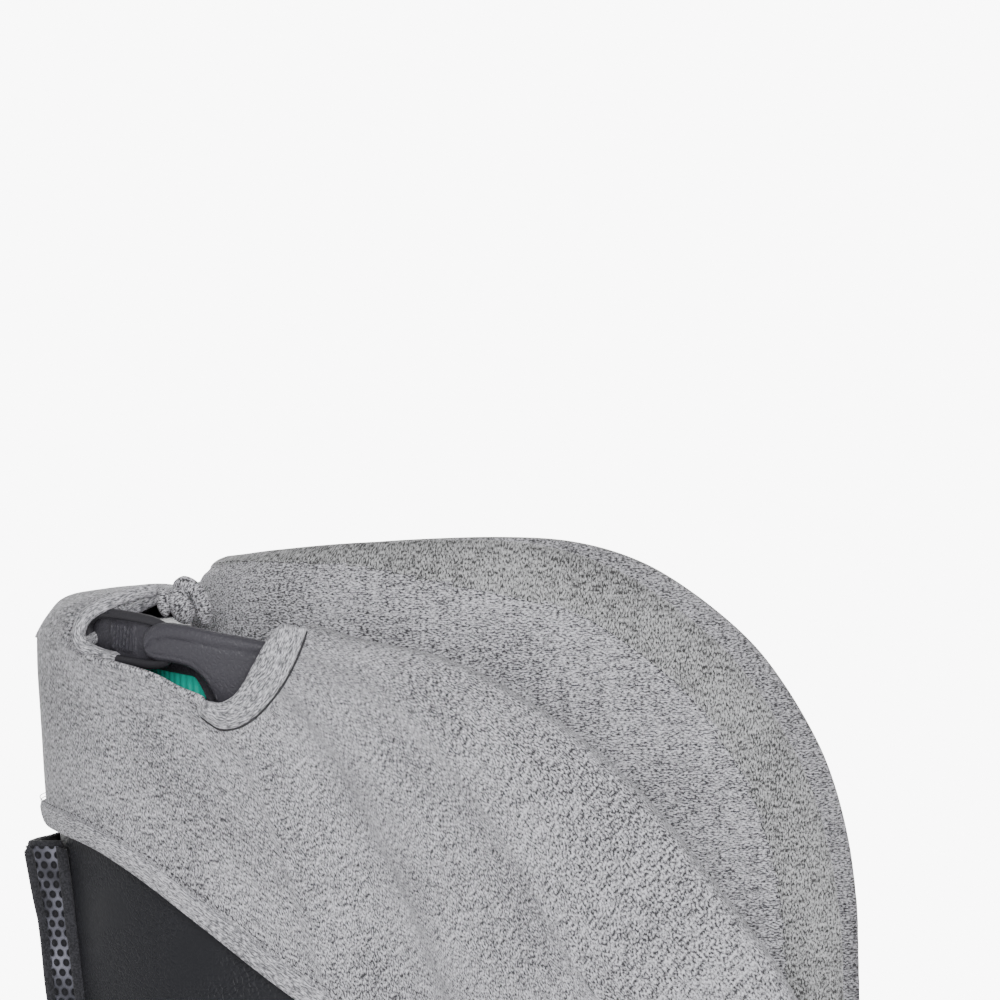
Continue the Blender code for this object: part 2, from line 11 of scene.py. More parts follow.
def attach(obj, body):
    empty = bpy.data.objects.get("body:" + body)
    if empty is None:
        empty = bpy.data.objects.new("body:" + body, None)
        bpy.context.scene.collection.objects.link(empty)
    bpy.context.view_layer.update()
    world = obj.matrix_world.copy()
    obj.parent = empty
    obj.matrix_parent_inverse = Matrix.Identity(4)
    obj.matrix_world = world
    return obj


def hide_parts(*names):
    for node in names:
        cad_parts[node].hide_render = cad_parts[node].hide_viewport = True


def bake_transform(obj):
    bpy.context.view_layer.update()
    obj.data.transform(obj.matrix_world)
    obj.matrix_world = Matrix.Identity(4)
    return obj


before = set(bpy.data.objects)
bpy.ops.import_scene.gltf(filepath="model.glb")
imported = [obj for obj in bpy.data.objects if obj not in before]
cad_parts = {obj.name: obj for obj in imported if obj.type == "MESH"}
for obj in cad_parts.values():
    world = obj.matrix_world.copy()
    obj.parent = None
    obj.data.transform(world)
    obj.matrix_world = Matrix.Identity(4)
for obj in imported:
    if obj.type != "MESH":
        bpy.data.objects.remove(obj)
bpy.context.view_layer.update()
sides = (("left", -1), ("right", 1))


# Camera, from the seat's left and a little from the front
view = {"target": (-0.2, 0.071, 0.68), "turn": 274, "distance": 4.0, "width": 0.5}


def placeCamera():
    lens = bpy.data.cameras.new("camera")
    lens.sensor_width = 36
    lens.lens = 36 * view["distance"] / view["width"]
    lens.clip_end = 50
    camera = bpy.data.objects.new("camera", lens)
    turn = math.radians(view["turn"])
    target = Vector(view["target"])
    camera.location = target + view["distance"] * Vector((math.sin(turn), -math.cos(turn), 0))
    camera.rotation_euler = (target - camera.location).to_track_quat("-Z", "Y").to_euler()
    bpy.context.scene.collection.objects.link(camera)
    bpy.context.scene.camera = camera


placeCamera()


# The shell's surface: sections that fan out from one point, each a squarish U
fan = {
    "centre": (-0.20, 0.66), "power": 3.0, "halfWidth": 0.212, "frontAngle": math.radians(101),
    "back": [(0.316, 0.66), (0.316, 0.60), (0.314, 0.54), (0.310, 0.486), (0.303, 0.41), (0.290, 0.30),
             (0.266, 0.22), (0.222, 0.171), (0.16, 0.145), (0.05, 0.130), (-0.10, 0.130), (-0.18, 0.150),
             (-0.24, 0.180), (-0.275, 0.215), (-0.285, 0.26)],
    "rim": [(0.175, 0.65), (0.168, 0.6175), (0.131, 0.6075), (0.101, 0.60), (0.071, 0.585), (0.041, 0.565),
            (0.001, 0.53), (-0.039, 0.48), (-0.069, 0.44), (-0.095, 0.39), (-0.125, 0.345), (-0.17, 0.31),
            (-0.23, 0.285), (-0.272, 0.262), (-0.285, 0.262)],
    "hem": [(-0.40, 0.259), (-0.275, 0.259), (-0.245, 0.263), (-0.20, 0.270), (-0.10, 0.294), (0.0, 0.333),
            (0.10, 0.385), (0.171, 0.43), (0.221, 0.4675), (0.256, 0.493), (0.285, 0.508), (0.3285, 0.518),
            (0.40, 0.53)],
    "coverTop": [(0.10, 0.6175), (0.168, 0.6175), (0.176, 0.5975), (0.186, 0.580), (0.2035, 0.5675),
                 (0.216, 0.5785), (0.231, 0.585), (0.246, 0.5925), (0.2735, 0.600), (0.290, 0.606), (0.305, 0.612),
                 (0.40, 0.615)],
    "shellTop": [(0.02, 0.545), (0.06, 0.560), (0.10, 0.556), (0.168, 0.5375), (0.225, 0.5375),
                 (0.255, 0.556), (0.285, 0.570), (0.40, 0.572)],
}


def smoothLine(points, perSpan=6):
    points = [np.array(p, float) for p in points]
    padded = [2 * points[0] - points[1], *points, 2 * points[-1] - points[-2]]
    found = []
    for a, b, c, d in zip(padded, padded[1:], padded[2:], padded[3:]):
        for i in range(perSpan):
            t = i / perSpan
            found.append(0.5 * (2 * b + (c - a) * t + (2 * a - 5 * b + 4 * c - d) * t ** 2
                                + (3 * b - a - 3 * c + d) * t ** 3))
    found.append(points[-1])
    return np.array(found)


def polarLine(points):
    line = smoothLine(points)
    along, down = line[:, 0] - fan["centre"][0], fan["centre"][1] - line[:, 1]
    angle = np.arctan2(down, along)
    order = np.argsort(angle)
    return angle[order], np.hypot(along, down)[order]


backPolar, rimPolar = polarLine(fan["back"]), polarLine(fan["rim"])
hemLine, coverTopLine = smoothLine(fan["hem"]), smoothLine(fan["coverTop"], 4)
shellTopLine = smoothLine(fan["shellTop"])


# t runs from -1 at the near rim to 1 at the far one, and angle from the top rear to the front lip
def onShell(angle, t, offset):
    reach = np.interp(angle, *backPolar)
    depth = reach - np.interp(angle, *rimPolar)
    nose = min(1.0, max(0.0, (math.degrees(angle) - 72) / 29))
    half = fan["halfWidth"] - 0.006 * abs(math.sin(angle - 0.9)) ** 2 - 0.045 * nose ** 2
    turn = min(abs(t), 1.0) * math.pi / 2
    power = fan["power"]
    across = math.sin(turn) ** (2 / power)
    inward = max(math.cos(turn), 0.0) ** (2 / power)
    nx, nr = across ** (power - 1) / half, inward ** (power - 1) / depth
    size = math.hypot(nx, nr)
    side = -1 if t < 0 else 1
    x = side * (half * across + offset * nx / size)
    reach = reach - depth * (1 - inward) + offset * nr / size
    return Vector((x, fan["centre"][0] + reach * math.cos(angle), fan["centre"][1] - reach * math.sin(angle)))


def shellNormal(angle, t, offset=0.0):
    inner, outer = onShell(angle, t, offset - 0.002), onShell(angle, t, offset + 0.002)
    return (outer - inner).normalized()


def angleAt(line, t):
    low, high = math.radians(1), fan["frontAngle"]
    for _ in range(26):
        middle = (low + high) / 2
        spot = onShell(middle, t, 0)
        if spot.z > np.interp(spot.y, line[:, 0], line[:, 1]):
            low = middle
        else:
            high = middle
    return (low + high) / 2


# Values of t whose lines lie evenly apart along the given outlines
def evenLines(lines, count, reach=1.0):
    fine = reach * np.sin(np.linspace(-math.pi / 2, math.pi / 2, 301))
    ends = np.array([[tuple(onShell(a, t, 0)) for a in lines(t)] for t in fine])
    steps = np.linalg.norm(np.diff(ends, axis=0), axis=2).max(axis=1)
    along = np.concatenate([[0], np.cumsum(steps)])
    return np.interp(np.linspace(0, along[-1], count), along, fine)


def bell(gap, wide):
    return math.exp(-(gap / wide) ** 2)


def ramp(low, high, value):
    share = min(1.0, max(0.0, (value - low) / (high - low)))
    return share * share * (3 - 2 * share)


def ripple(spot, size, depth, seed=0.0):
    return depth * noise.noise(Vector(spot) / size + Vector((seed, 0, 0)))


# The shell's point and normal at this y and z
def onSide(y, z, offset, side):
    along, down = y - fan["centre"][0], fan["centre"][1] - z
    angle, wanted = math.atan2(down, along), math.hypot(along, down)
    low, high = 0.0, 1.0
    for _ in range(26):
        middle = (low + high) / 2
        spot = onShell(angle, middle, offset)
        if math.hypot(spot.y - fan["centre"][0], fan["centre"][1] - spot.z) > wanted:
            low = middle
        else:
            high = middle
    return onShell(angle, side * low, offset), shellNormal(angle, side * low)


# Mesh helpers
def finishPiece(name, bm, material, body, slot, smooth=True, bendLimit=40, replaces=(), mend=True):
    if mend:
        bmesh.ops.remove_doubles(bm, verts=bm.verts, dist=0.000002)
        bmesh.ops.dissolve_degenerate(bm, edges=bm.edges, dist=0.000001)
        bmesh.ops.recalc_face_normals(bm, faces=bm.faces)
        if bm.calc_volume(signed=True) < 0:
            bmesh.ops.reverse_faces(bm, faces=bm.faces)
    mesh = bpy.data.meshes.new(name)
    bm.to_mesh(mesh)
    bm.free()
    if smooth:
        mesh.shade_smooth()
        mesh.set_sharp_from_angle(angle=math.radians(bendLimit))
    mesh.materials.append(material)
    piece = bpy.data.objects.new(name, mesh)
    bpy.context.scene.collection.objects.link(piece)
    if isinstance(body, str):
        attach(piece, body)
    if replaces:
        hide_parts(*replaces)
    return piece


# A grid whose points go where place(column share, row share) says, with a UV map in metres
def gridMesh(cols, rows, place, flat=None):
    bm = bmesh.new()
    uvs = bm.loops.layers.uv.new("UVMap")
    bmesh.ops.create_grid(bm, x_segments=cols, y_segments=rows, size=0.5)
    spots = np.empty((cols + 1, rows + 1, 3))
    for i in range(cols + 1):
        for j in range(rows + 1):
            spots[i, j] = place(i / cols, j / rows)
    stepsU = np.linalg.norm(np.diff(spots, axis=0), axis=2).mean(axis=1)
    alongU = np.concatenate([[0], np.cumsum(stepsU)])
    stepsV = np.linalg.norm(np.diff(spots, axis=1), axis=2)
    alongV = np.concatenate([np.zeros((cols + 1, 1)), np.cumsum(stepsV, axis=1)], axis=1)
    for face in bm.faces:
        for loop in face.loops:
            i = round((loop.vert.co.x + 0.5) * cols)
            j = round((loop.vert.co.y + 0.5) * rows)
            loop[uvs].uv = flat(i / cols, j / rows) if flat else (alongU[i], alongV[i, j])
    for vert in bm.verts:
        vert.co = spots[round((vert.co.x + 0.5) * cols), round((vert.co.y + 0.5) * rows)]
    return bm


def capHoles(bm):
    bmesh.ops.remove_doubles(bm, verts=bm.verts, dist=0.000002)
    borders = [e for e in bm.edges if e.is_boundary]
    if borders:
        bmesh.ops.holes_fill(bm, edges=borders, sides=0)


def gridPiece(name, cols, rows, place, material, body, slot, replaces=(), bendLimit=60, flat=None):
    bm = gridMesh(cols, rows, place, flat)
    capHoles(bm)
    return finishPiece(name, bm, material, body, slot, bendLimit=bendLimit, replaces=replaces)


# A closed skin on the shell. Its ring is a list of (share from top to bottom, offset)
def skinPiece(name, columns, limits, ring, material, body, slot, replaces=(), bump=None, wrap=None):
    ends = [limits(t) for t in columns]

    def place(u, v):
        i, j = round(u * (len(columns) - 1)), round(v * (len(ring) - 1))
        t, (top, bottom) = columns[i], ends[i]
        share, offset = ring[j]
        angle = top + (bottom - top) * share
        if bump:
            offset += bump(angle, t, offset)
        return (wrap or onShell)(angle, t, offset)

    return gridPiece(name, len(columns) - 1, len(ring) - 1, place, material, body, slot, replaces)


# A profile of (across, up) points carried along a line; across lies in the surface, up along the normal
def bandMesh(spots, normals, profile, taper=0.0, closed=False):
    spots = [Vector(p) for p in spots]
    count = len(spots)
    total = sum((b - a).length for a, b in zip(spots, spots[1:]))
    frames = []
    gone = 0.0
    for i, spot in enumerate(spots):
        if closed:
            run = spots[(i + 1) % (count - 1)] - spots[(i - 1) % (count - 1)]
        else:
            run = spots[min(i + 1, count - 1)] - spots[max(i - 1, 0)]
        run.normalize()
        up = Vector(normals[i])
        up = (up - up.dot(run) * run).normalized()
        if i:
            gone += (spot - spots[i - 1]).length
        size = 1.0
        if taper:
            size = min(1.0, math.sqrt(max(0.0, min(gone, total - gone) / taper)) + 0.05)
        frames.append((spot, up.cross(run), up, size))
    ring = profile + [profile[0]]

    def place(u, v):
        spot, across, up, size = frames[round(u * (count - 1))]
        a, h = ring[round(v * (len(ring) - 1))]
        return spot + across * a * size + up * h * size

    return gridMesh(count - 1, len(ring) - 1, place)


def bandPiece(name, spots, normals, profile, material, body, slot, taper=0.0, closed=False, replaces=()):
    bm = bandMesh(spots, normals, profile, taper, closed)
    if not closed:
        capHoles(bm)
    return finishPiece(name, bm, material, body, slot, bendLimit=50, replaces=replaces)


def ovalProfile(width, height, lift=0.0, start=0.0, sides=12, power=3.0):
    found = []
    for k in range(sides):
        turn = 2 * math.pi * k / sides
        c, s = math.cos(turn), math.sin(turn)
        a = math.copysign(abs(c) ** (2 / power), c) * width / 2
        h = math.copysign(abs(s) ** (2 / power), s) * height / 2
        found.append((start + width / 2 + a, h + lift))
    return found


def roundProfile(radius, sides=10):
    return [(radius * math.cos(2 * math.pi * k / sides), radius * math.sin(2 * math.pi * k / sides))
            for k in range(sides)]


# The line's points and normals at an even step
def resample(spots, normals, step):
    spots = np.array([tuple(p) for p in spots])
    normals = np.array([tuple(n) for n in normals])
    along = np.concatenate([[0], np.cumsum(np.linalg.norm(np.diff(spots, axis=0), axis=1))])
    count = max(2, int(along[-1] / step))
    where = np.linspace(0, along[-1], count + 1)
    found = [Vector([np.interp(w, along, spots[:, k]) for k in range(3)]) for w in where]
    ups = [Vector([np.interp(w, along, normals[:, k]) for k in range(3)]).normalized() for w in where]
    return found, ups


# A row of raised stitches beside a line
def stitchRow(name, spots, normals, across, material, body, slot, pitch=0.0036, length=0.0025, thick=0.00028):
    spots, normals = resample(spots, normals, pitch)
    bm = bmesh.new()
    for i in range(1, len(spots) - 1):
        run = (spots[i + 1] - spots[i - 1]).normalized()
        up = (normals[i] - normals[i].dot(run) * run).normalized()
        side = up.cross(run)
        middle = spots[i] + side * across + up * 0.00005
        turn = Matrix((run, side, up)).transposed().to_4x4()
        size = Matrix.Diagonal((length / 2, thick, thick, 1))
        bmesh.ops.create_icosphere(bm, subdivisions=1, radius=1, matrix=Matrix.Translation(middle) @ turn @ size)
    return finishPiece(name, bm, material, body, slot, bendLimit=80, mend=False)


# Shader groups
def newGroup(name, inputs, outputs):
    group = bpy.data.node_groups.new(name, "ShaderNodeTree")
    for label, kind, value in inputs:
        socket = group.interface.new_socket(label, in_out="INPUT", socket_type=kind)
        if value is not None:
            socket.default_value = value
    for label, kind in outputs:
        group.interface.new_socket(label, in_out="OUTPUT", socket_type=kind)
    return group, group.nodes.new("NodeGroupInput"), group.nodes.new("NodeGroupOutput")


def mathNode(tree, operation, a, b=None):
    node = tree.nodes.new("ShaderNodeMath")
    node.operation = operation
    for socket, value in zip(node.inputs, (a, b)):
        if value is None:
            continue
        if isinstance(value, (int, float)):
            socket.default_value = value
        else:
            tree.links.new(value, socket)
    return node.outputs[0]


# The coordinates divided by the given sizes, so that one unit is one cell
def stretched(tree, vector, sizes):
    node = tree.nodes.new("ShaderNodeVectorMath")
    node.operation = "DIVIDE"
    tree.links.new(vector, node.inputs[0])
    if isinstance(sizes, tuple):
        node.inputs[1].default_value = sizes
    else:
        tree.links.new(sizes, node.inputs[1])
    return node.outputs[0]


def noiseNode(tree, vector, detail=2.0, roughness=0.5):
    node = tree.nodes.new("ShaderNodeTexNoise")
    node.inputs["Scale"].default_value = 1.0
    node.inputs["Detail"].default_value = detail
    node.inputs["Roughness"].default_value = roughness
    tree.links.new(vector, node.inputs["Vector"])
    return node.outputs["Fac"]


def mixNode(tree, factor, a, b):
    node = tree.nodes.new("ShaderNodeMix")
    node.data_type = "RGBA"
    tree.links.new(factor, node.inputs[0])
    for socket, value in ((node.inputs[6], a), (node.inputs[7], b)):
        if isinstance(value, tuple):
            socket.default_value = value
        else:
            tree.links.new(value, socket)
    return node.outputs[2]


def rampNode(tree, value, low, high):
    node = tree.nodes.new("ShaderNodeMapRange")
    node.interpolation_type = "SMOOTHSTEP"
    tree.links.new(value, node.inputs["Value"])
    node.inputs["From Min"].default_value = low
    node.inputs["From Max"].default_value = high
    return node.outputs["Result"]


# Knit of light and dark flecks that lie along the first coordinate
def makeMelange():
    group, given, made = newGroup("melangeKnit", (
        ("Vector", "NodeSocketVector", None), ("Fleck", "NodeSocketVector", (0.0016, 0.0008, 0.0011)),
        ("Light", "NodeSocketColor", (0.6, 0.6, 0.62, 1)), ("Dark", "NodeSocketColor", (0.12, 0.12, 0.13, 1))),
        (("Colour", "NodeSocketColor"), ("Height", "NodeSocketFloat")))
    cells = stretched(group, given.outputs["Vector"], given.outputs["Fleck"])
    flecks = noiseNode(group, cells, 3.0, 0.62)
    wide = noiseNode(group, stretched(group, given.outputs["Vector"], (0.006, 0.003, 0.004)), 2.0)
    cloud = noiseNode(group, stretched(group, given.outputs["Vector"], (0.05, 0.05, 0.05)), 1.0)
    blend = mathNode(group, "ADD", mathNode(group, "MULTIPLY", flecks, 0.8), mathNode(group, "MULTIPLY", wide, 0.2))
    blend = mathNode(group, "ADD", blend, mathNode(group, "MULTIPLY", mathNode(group, "SUBTRACT", cloud, 0.5), 0.08))
    share = rampNode(group, blend, 0.40, 0.62)
    group.links.new(mixNode(group, share, given.outputs["Dark"], given.outputs["Light"]), made.inputs["Colour"])
    group.links.new(flecks, made.inputs["Height"])
    return group


# Leather grain of moulded plastic: raised cells with creases, in drifts
def makeGrain():
    group, given, made = newGroup("leatherGrain", (
        ("Vector", "NodeSocketVector", None), ("Cell", "NodeSocketVector", (0.0022, 0.0022, 0.0022)),
        ("Everywhere", "NodeSocketFloat", 1.0)),
        (("Height", "NodeSocketFloat"), ("Polish", "NodeSocketFloat")))
    cells = stretched(group, given.outputs["Vector"], given.outputs["Cell"])
    creases = group.nodes.new("ShaderNodeTexVoronoi")
    creases.feature = "DISTANCE_TO_EDGE"
    creases.inputs["Scale"].default_value = 1.0
    group.links.new(cells, creases.inputs["Vector"])
    edges = rampNode(group, creases.outputs["Distance"], 0.0, 0.22)
    fine = noiseNode(group, cells, 4.0, 0.7)
    drift = noiseNode(group, stretched(group, given.outputs["Vector"], (0.07, 0.07, 0.05)), 2.0)
    where = mathNode(group, "MAXIMUM", rampNode(group, drift, 0.42, 0.6), given.outputs["Everywhere"])
    height = mathNode(group, "ADD", mathNode(group, "MULTIPLY", edges, 0.6), mathNode(group, "MULTIPLY", fine, 0.5))
    group.links.new(mathNode(group, "MULTIPLY", height, where), made.inputs["Height"])
    group.links.new(drift, made.inputs["Polish"])
    return group


# Seat-belt webbing: chevron ribs along the strap, with ribs across it
def makeWeave():
    group, given, made = newGroup("webbingWeave", (
        ("Vector", "NodeSocketVector", None), ("Rib", "NodeSocketFloat", 0.0016)),
        (("Height", "NodeSocketFloat"), ("Tone", "NodeSocketFloat")))
    parts = group.nodes.new("ShaderNodeSeparateXYZ")
    group.links.new(given.outputs["Vector"], parts.inputs[0])
    along = mathNode(group, "DIVIDE", parts.outputs[0], given.outputs["Rib"])
    over = mathNode(group, "DIVIDE", parts.outputs[1], given.outputs["Rib"])
    fold = mathNode(group, "PINGPONG", over, 3.0)
    rib = mathNode(group, "SINE", mathNode(group, "MULTIPLY", mathNode(group, "ADD", along, fold), math.pi * 2))
    cross = mathNode(group, "SINE", mathNode(group, "MULTIPLY", over, math.pi * 4))
    height = mathNode(group, "ADD", mathNode(group, "MULTIPLY", rib, 0.5), mathNode(group, "MULTIPLY", cross, 0.25))
    group.links.new(height, made.inputs["Height"])
    group.links.new(rampNode(group, height, -0.7, 0.7), made.inputs["Tone"])
    return group


# Round dots on a six-sided lattice, as on spacer mesh
def makeNet():
    group, given, made = newGroup("dotNet", (
        ("Vector", "NodeSocketVector", None), ("Pitch", "NodeSocketFloat", 0.006)),
        (("Dots", "NodeSocketFloat"), ("Height", "NodeSocketFloat")))
    parts = group.nodes.new("ShaderNodeSeparateXYZ")
    group.links.new(given.outputs["Vector"], parts.inputs[0])
    x = mathNode(group, "DIVIDE", mathNode(group, "MULTIPLY", parts.outputs[0], 2 * math.pi), given.outputs["Pitch"])
    y = mathNode(group, "DIVIDE", mathNode(group, "MULTIPLY", parts.outputs[1], 2 * math.pi), given.outputs["Pitch"])
    total = mathNode(group, "COSINE", mathNode(group, "MULTIPLY", y, 2 / math.sqrt(3)))
    for sign in (1, -1):
        slant = mathNode(group, "ADD", x, mathNode(group, "MULTIPLY", y, sign / math.sqrt(3)))
        total = mathNode(group, "ADD", total, mathNode(group, "COSINE", slant))
    group.links.new(rampNode(group, total, -0.35, 0.35), made.inputs["Dots"])
    group.links.new(total, made.inputs["Height"])
    return group


melangeKnit, leatherGrain, webbingWeave, dotNet = makeMelange(), makeGrain(), makeWeave(), makeNet()


# Materials
def startMaterial(name, roughness, metallic=0.0, sheen=0.0, coat=0.0):
    material = bpy.data.materials.new(name)
    material.use_nodes = True
    tree = material.node_tree
    shader = tree.nodes["Principled BSDF"]
    shader.inputs["Roughness"].default_value = roughness
    shader.inputs["Metallic"].default_value = metallic
    shader.inputs["Sheen Weight"].default_value = sheen
    shader.inputs["Sheen Roughness"].default_value = 0.6
    shader.inputs["Coat Weight"].default_value = coat
    where = tree.nodes.new("ShaderNodeTexCoord")
    return material, tree, shader, where


def useGroup(tree, group, vector, **values):
    node = tree.nodes.new("ShaderNodeGroup")
    node.node_tree = group
    tree.links.new(vector, node.inputs["Vector"])
    for label, value in values.items():
        node.inputs[label.capitalize()].default_value = value
    return node


def bumpInto(tree, shader, height, distance, strength=1.0):
    node = tree.nodes.new("ShaderNodeBump")
    node.inputs["Strength"].default_value = strength
    node.inputs["Distance"].default_value = distance
    tree.links.new(height, node.inputs["Height"])
    tree.links.new(node.outputs["Normal"], shader.inputs["Normal"])


def fabricMaterial(name, light, dark, fleck, byUv=True, relief=0.0004):
    material, tree, shader, where = startMaterial(name, 0.95, sheen=0.12)
    knit = useGroup(tree, melangeKnit, where.outputs["UV" if byUv else "Object"], fleck=fleck,
                    light=(*light, 1), dark=(*dark, 1))
    tree.links.new(knit.outputs["Colour"], shader.inputs["Base Color"])
    bumpInto(tree, shader, knit.outputs["Height"], relief)
    return material


def plasticMaterial(name, colour, roughness, cell, relief, everywhere=1.0, coat=0.0):
    material, tree, shader, where = startMaterial(name, roughness, coat=coat)
    shader.inputs["Specular IOR Level"].default_value = 0.32
    grain = useGroup(tree, leatherGrain, where.outputs["Object"], cell=(cell,) * 3, everywhere=everywhere)
    dull = tuple(min(1.0, c * 1.25 + 0.004) for c in colour)
    tone = mixNode(tree, grain.outputs["Polish"], (*colour, 1), (*dull, 1))
    tree.links.new(tone, shader.inputs["Base Color"])
    wear = tree.nodes.new("ShaderNodeMapRange")
    tree.links.new(grain.outputs["Polish"], wear.inputs["Value"])
    wear.inputs["To Min"].default_value = roughness - 0.08
    wear.inputs["To Max"].default_value = roughness + 0.10
    tree.links.new(wear.outputs["Result"], shader.inputs["Roughness"])
    bumpInto(tree, shader, grain.outputs["Height"], relief)
    return material


def webbingMaterial():
    material, tree, shader, where = startMaterial("webbing", 0.6, sheen=0.1)
    weave = useGroup(tree, webbingWeave, where.outputs["UV"])
    tone = mixNode(tree, weave.outputs["Tone"], (0.012, 0.012, 0.014, 1), (0.045, 0.045, 0.052, 1))
    tree.links.new(tone, shader.inputs["Base Color"])
    bumpInto(tree, shader, weave.outputs["Height"], 0.0002)
    return material


def netMaterial():
    material, tree, shader, where = startMaterial("pocketNet", 0.8)
    net = useGroup(tree, dotNet, where.outputs["UV"])
    drift = noiseNode(tree, stretched(tree, where.outputs["UV"], (0.03, 0.03, 0.03)), 1.0)
    thread = mixNode(tree, rampNode(tree, drift, 0.35, 0.65), (0.035, 0.035, 0.045, 1), (0.22, 0.22, 0.27, 1))
    tone = mixNode(tree, net.outputs["Dots"], thread, (0.012, 0.012, 0.016, 1))
    tree.links.new(tone, shader.inputs["Base Color"])
    bumpInto(tree, shader, net.outputs["Height"], -0.0006)
    return material


def steelMaterial():
    material, tree, shader, where = startMaterial("platedSteel", 0.3, metallic=1.0)
    brushed = noiseNode(tree, stretched(tree, where.outputs["Object"], (0.02, 0.0006, 0.0006)), 3.0)
    tone = mixNode(tree, brushed, (0.42, 0.43, 0.45, 1), (0.66, 0.67, 0.70, 1))
    tree.links.new(tone, shader.inputs["Base Color"])
    bumpInto(tree, shader, brushed, 0.00005)
    return material


fleckAlong, fleckSteep = (0.0017, 0.0008, 0.0011), (0.0008, 0.0017, 0.0011)
knitLight, knitDark = (0.76, 0.75, 0.80), (0.045, 0.044, 0.048)
coverKnit = fabricMaterial("coverKnit", knitLight, knitDark, fleckSteep)
headKnit = fabricMaterial("headKnit", knitLight, knitDark, fleckAlong)
hemKnit = fabricMaterial("hemKnit", knitLight, (0.13, 0.13, 0.14), (0.0026, 0.0007, 0.0011))
liningKnit = fabricMaterial("liningKnit", (0.66, 0.66, 0.68), (0.10, 0.10, 0.105), fleckAlong)
padKnit = fabricMaterial("padKnit", (0.23, 0.23, 0.245), (0.03, 0.03, 0.033), (0.0013, 0.0013, 0.0013), byUv=False)
seatKnit = fabricMaterial("seatKnit", (0.66, 0.66, 0.68), (0.10, 0.10, 0.105), (0.0016, 0.001, 0.001), byUv=False)
# dark thread for stitches, also used for the painted gap shadow along the opening's strap band
threadDarkAndGapShadow = fabricMaterial("threadDarkAndGapShadow", (0.05, 0.05, 0.055), (0.02, 0.02, 0.022), (0.001,) * 3, byUv=False)
threadPale = fabricMaterial("threadPale", (0.62, 0.62, 0.66), (0.3, 0.3, 0.32), (0.001,) * 3, byUv=False)
edgeKnit = fabricMaterial("edgeKnit", (0.035, 0.035, 0.042), (0.01, 0.01, 0.013), (0.001,) * 3, byUv=False)
shellPlastic = plasticMaterial("shellPlastic", (0.011, 0.0115, 0.015), 0.46, 0.0030, 0.0005, everywhere=0.12)
basePlastic = plasticMaterial("basePlastic", (0.030, 0.031, 0.036), 0.55, 0.0020, 0.0003)
handlePlastic = plasticMaterial("handlePlastic", (0.052, 0.050, 0.060), 0.40, 0.0024, 0.00022)
rimPlastic = plasticMaterial("rimPlastic", (0.030, 0.029, 0.034), 0.42, 0.0016, 0.0001)
backPlastic = plasticMaterial("backPlastic", (0.105, 0.105, 0.112), 0.5, 0.0028, 0.0003, everywhere=0.1)
greenPlastic = plasticMaterial("greenPlastic", (0.03, 0.66, 0.50), 0.28, 0.0012, 0.00004, coat=0.3)
redPlastic = plasticMaterial("redPlastic", (0.55, 0.02, 0.02), 0.35, 0.0012, 0.00004, coat=0.2)
rubberMat = plasticMaterial("rubberMat", (0.016, 0.016, 0.017), 0.85, 0.0012, 0.0002)
webbing, pocketNet, platedSteel = webbingMaterial(), netMaterial(), steelMaterial()
print("materials are ready")


# Outer cover of the shell
cover = {"lines": 170, "rows": 64, "out": 0.0062, "in": 0.0031, "foldMiddle": -0.0066, "foldRise": 0.004,
         "foldShare": 0.08, "hemWidth": 0.011, "creaseAt": (0.232, 0.572), "creaseDepth": 0.0012,
         "creaseReach": 0.035, "ridgeIn": 0.006, "ridgeWide": 0.004, "ridgeHigh": 0.0008}


# Past the rim the cover rolls over onto the lining
def rimFold(angle, t, offset):
    over = max(0.0, abs(t) - 1.0) / cover["foldShare"]
    turn = math.pi * min(1.0, over)
    middle = cover["foldMiddle"]
    spot = onShell(angle, math.copysign(min(abs(t), 1.0), t), middle + (offset - middle) * math.cos(turn))
    out = Vector((0, -math.cos(angle), math.sin(angle)))
    return spot + out * (cover["foldRise"] * math.sin(turn) * (1 + (offset - 0.006) * 40))


def coverLimits(t):
    t = math.copysign(min(abs(t), 1.0), t)
    return angleAt(coverTopLine, t), angleAt(hemLine, t)


def coverBump(angle, t, offset):
    if offset < 0.005:
        return 0.0
    spot = onShell(angle, t, 0)
    lift = ripple(spot, 0.09, 0.0007) + ripple(spot, 0.035, 0.0003, 7.0)
    # soft creases below the handle's opening
    y, z = cover["creaseAt"]
    away = math.hypot(spot.y - y, (spot.z - z) * 1.3)
    lift += cover["creaseDepth"] * bell(away, cover["creaseReach"]) * math.sin(spot.y * 330 + spot.z * 140)
    # the rim's ridge
    rimGap = abs(math.hypot(spot.y + 0.2, spot.z - 0.66) - np.interp(angle, *rimPolar))
    lift += cover["ridgeHigh"] * bell(rimGap - cover["ridgeIn"], cover["ridgeWide"])
    return lift


def makeShellCover():
    lines = list(evenLines(coverLimits, cover["lines"]))
    fold = [1 + cover["foldShare"] * (k + 1) / 8 for k in range(8)]
    lines = [-t for t in reversed(fold)] + lines + fold
    rows = cover["rows"]
    middle = (cover["out"] + cover["in"]) / 2
    ring = [(k / rows, cover["out"]) for k in range(rows + 1)] + [(1.0, middle)]
    ring += [(1 - k / 12, cover["in"]) for k in range(13)] + [(0.0, middle), (0.0, cover["out"])]
    piece = skinPiece("shell_cover_knit", lines, coverLimits, ring, coverKnit, "shell", "melange_fabric",
                      replaces=("shell_cover",), bump=coverBump, wrap=rimFold)
    return piece


# The cover's lower hem or its top edge as points and normals on its outer face
def coverEdge(which, count, reach=1.0):
    lines = evenLines(coverLimits, count, reach)
    spots, normals = [], []
    for t in lines:
        angle = coverLimits(t)[which]
        spots.append(onShell(angle, t, cover["out"]))
        normals.append(shellNormal(angle, t))
    return spots, normals


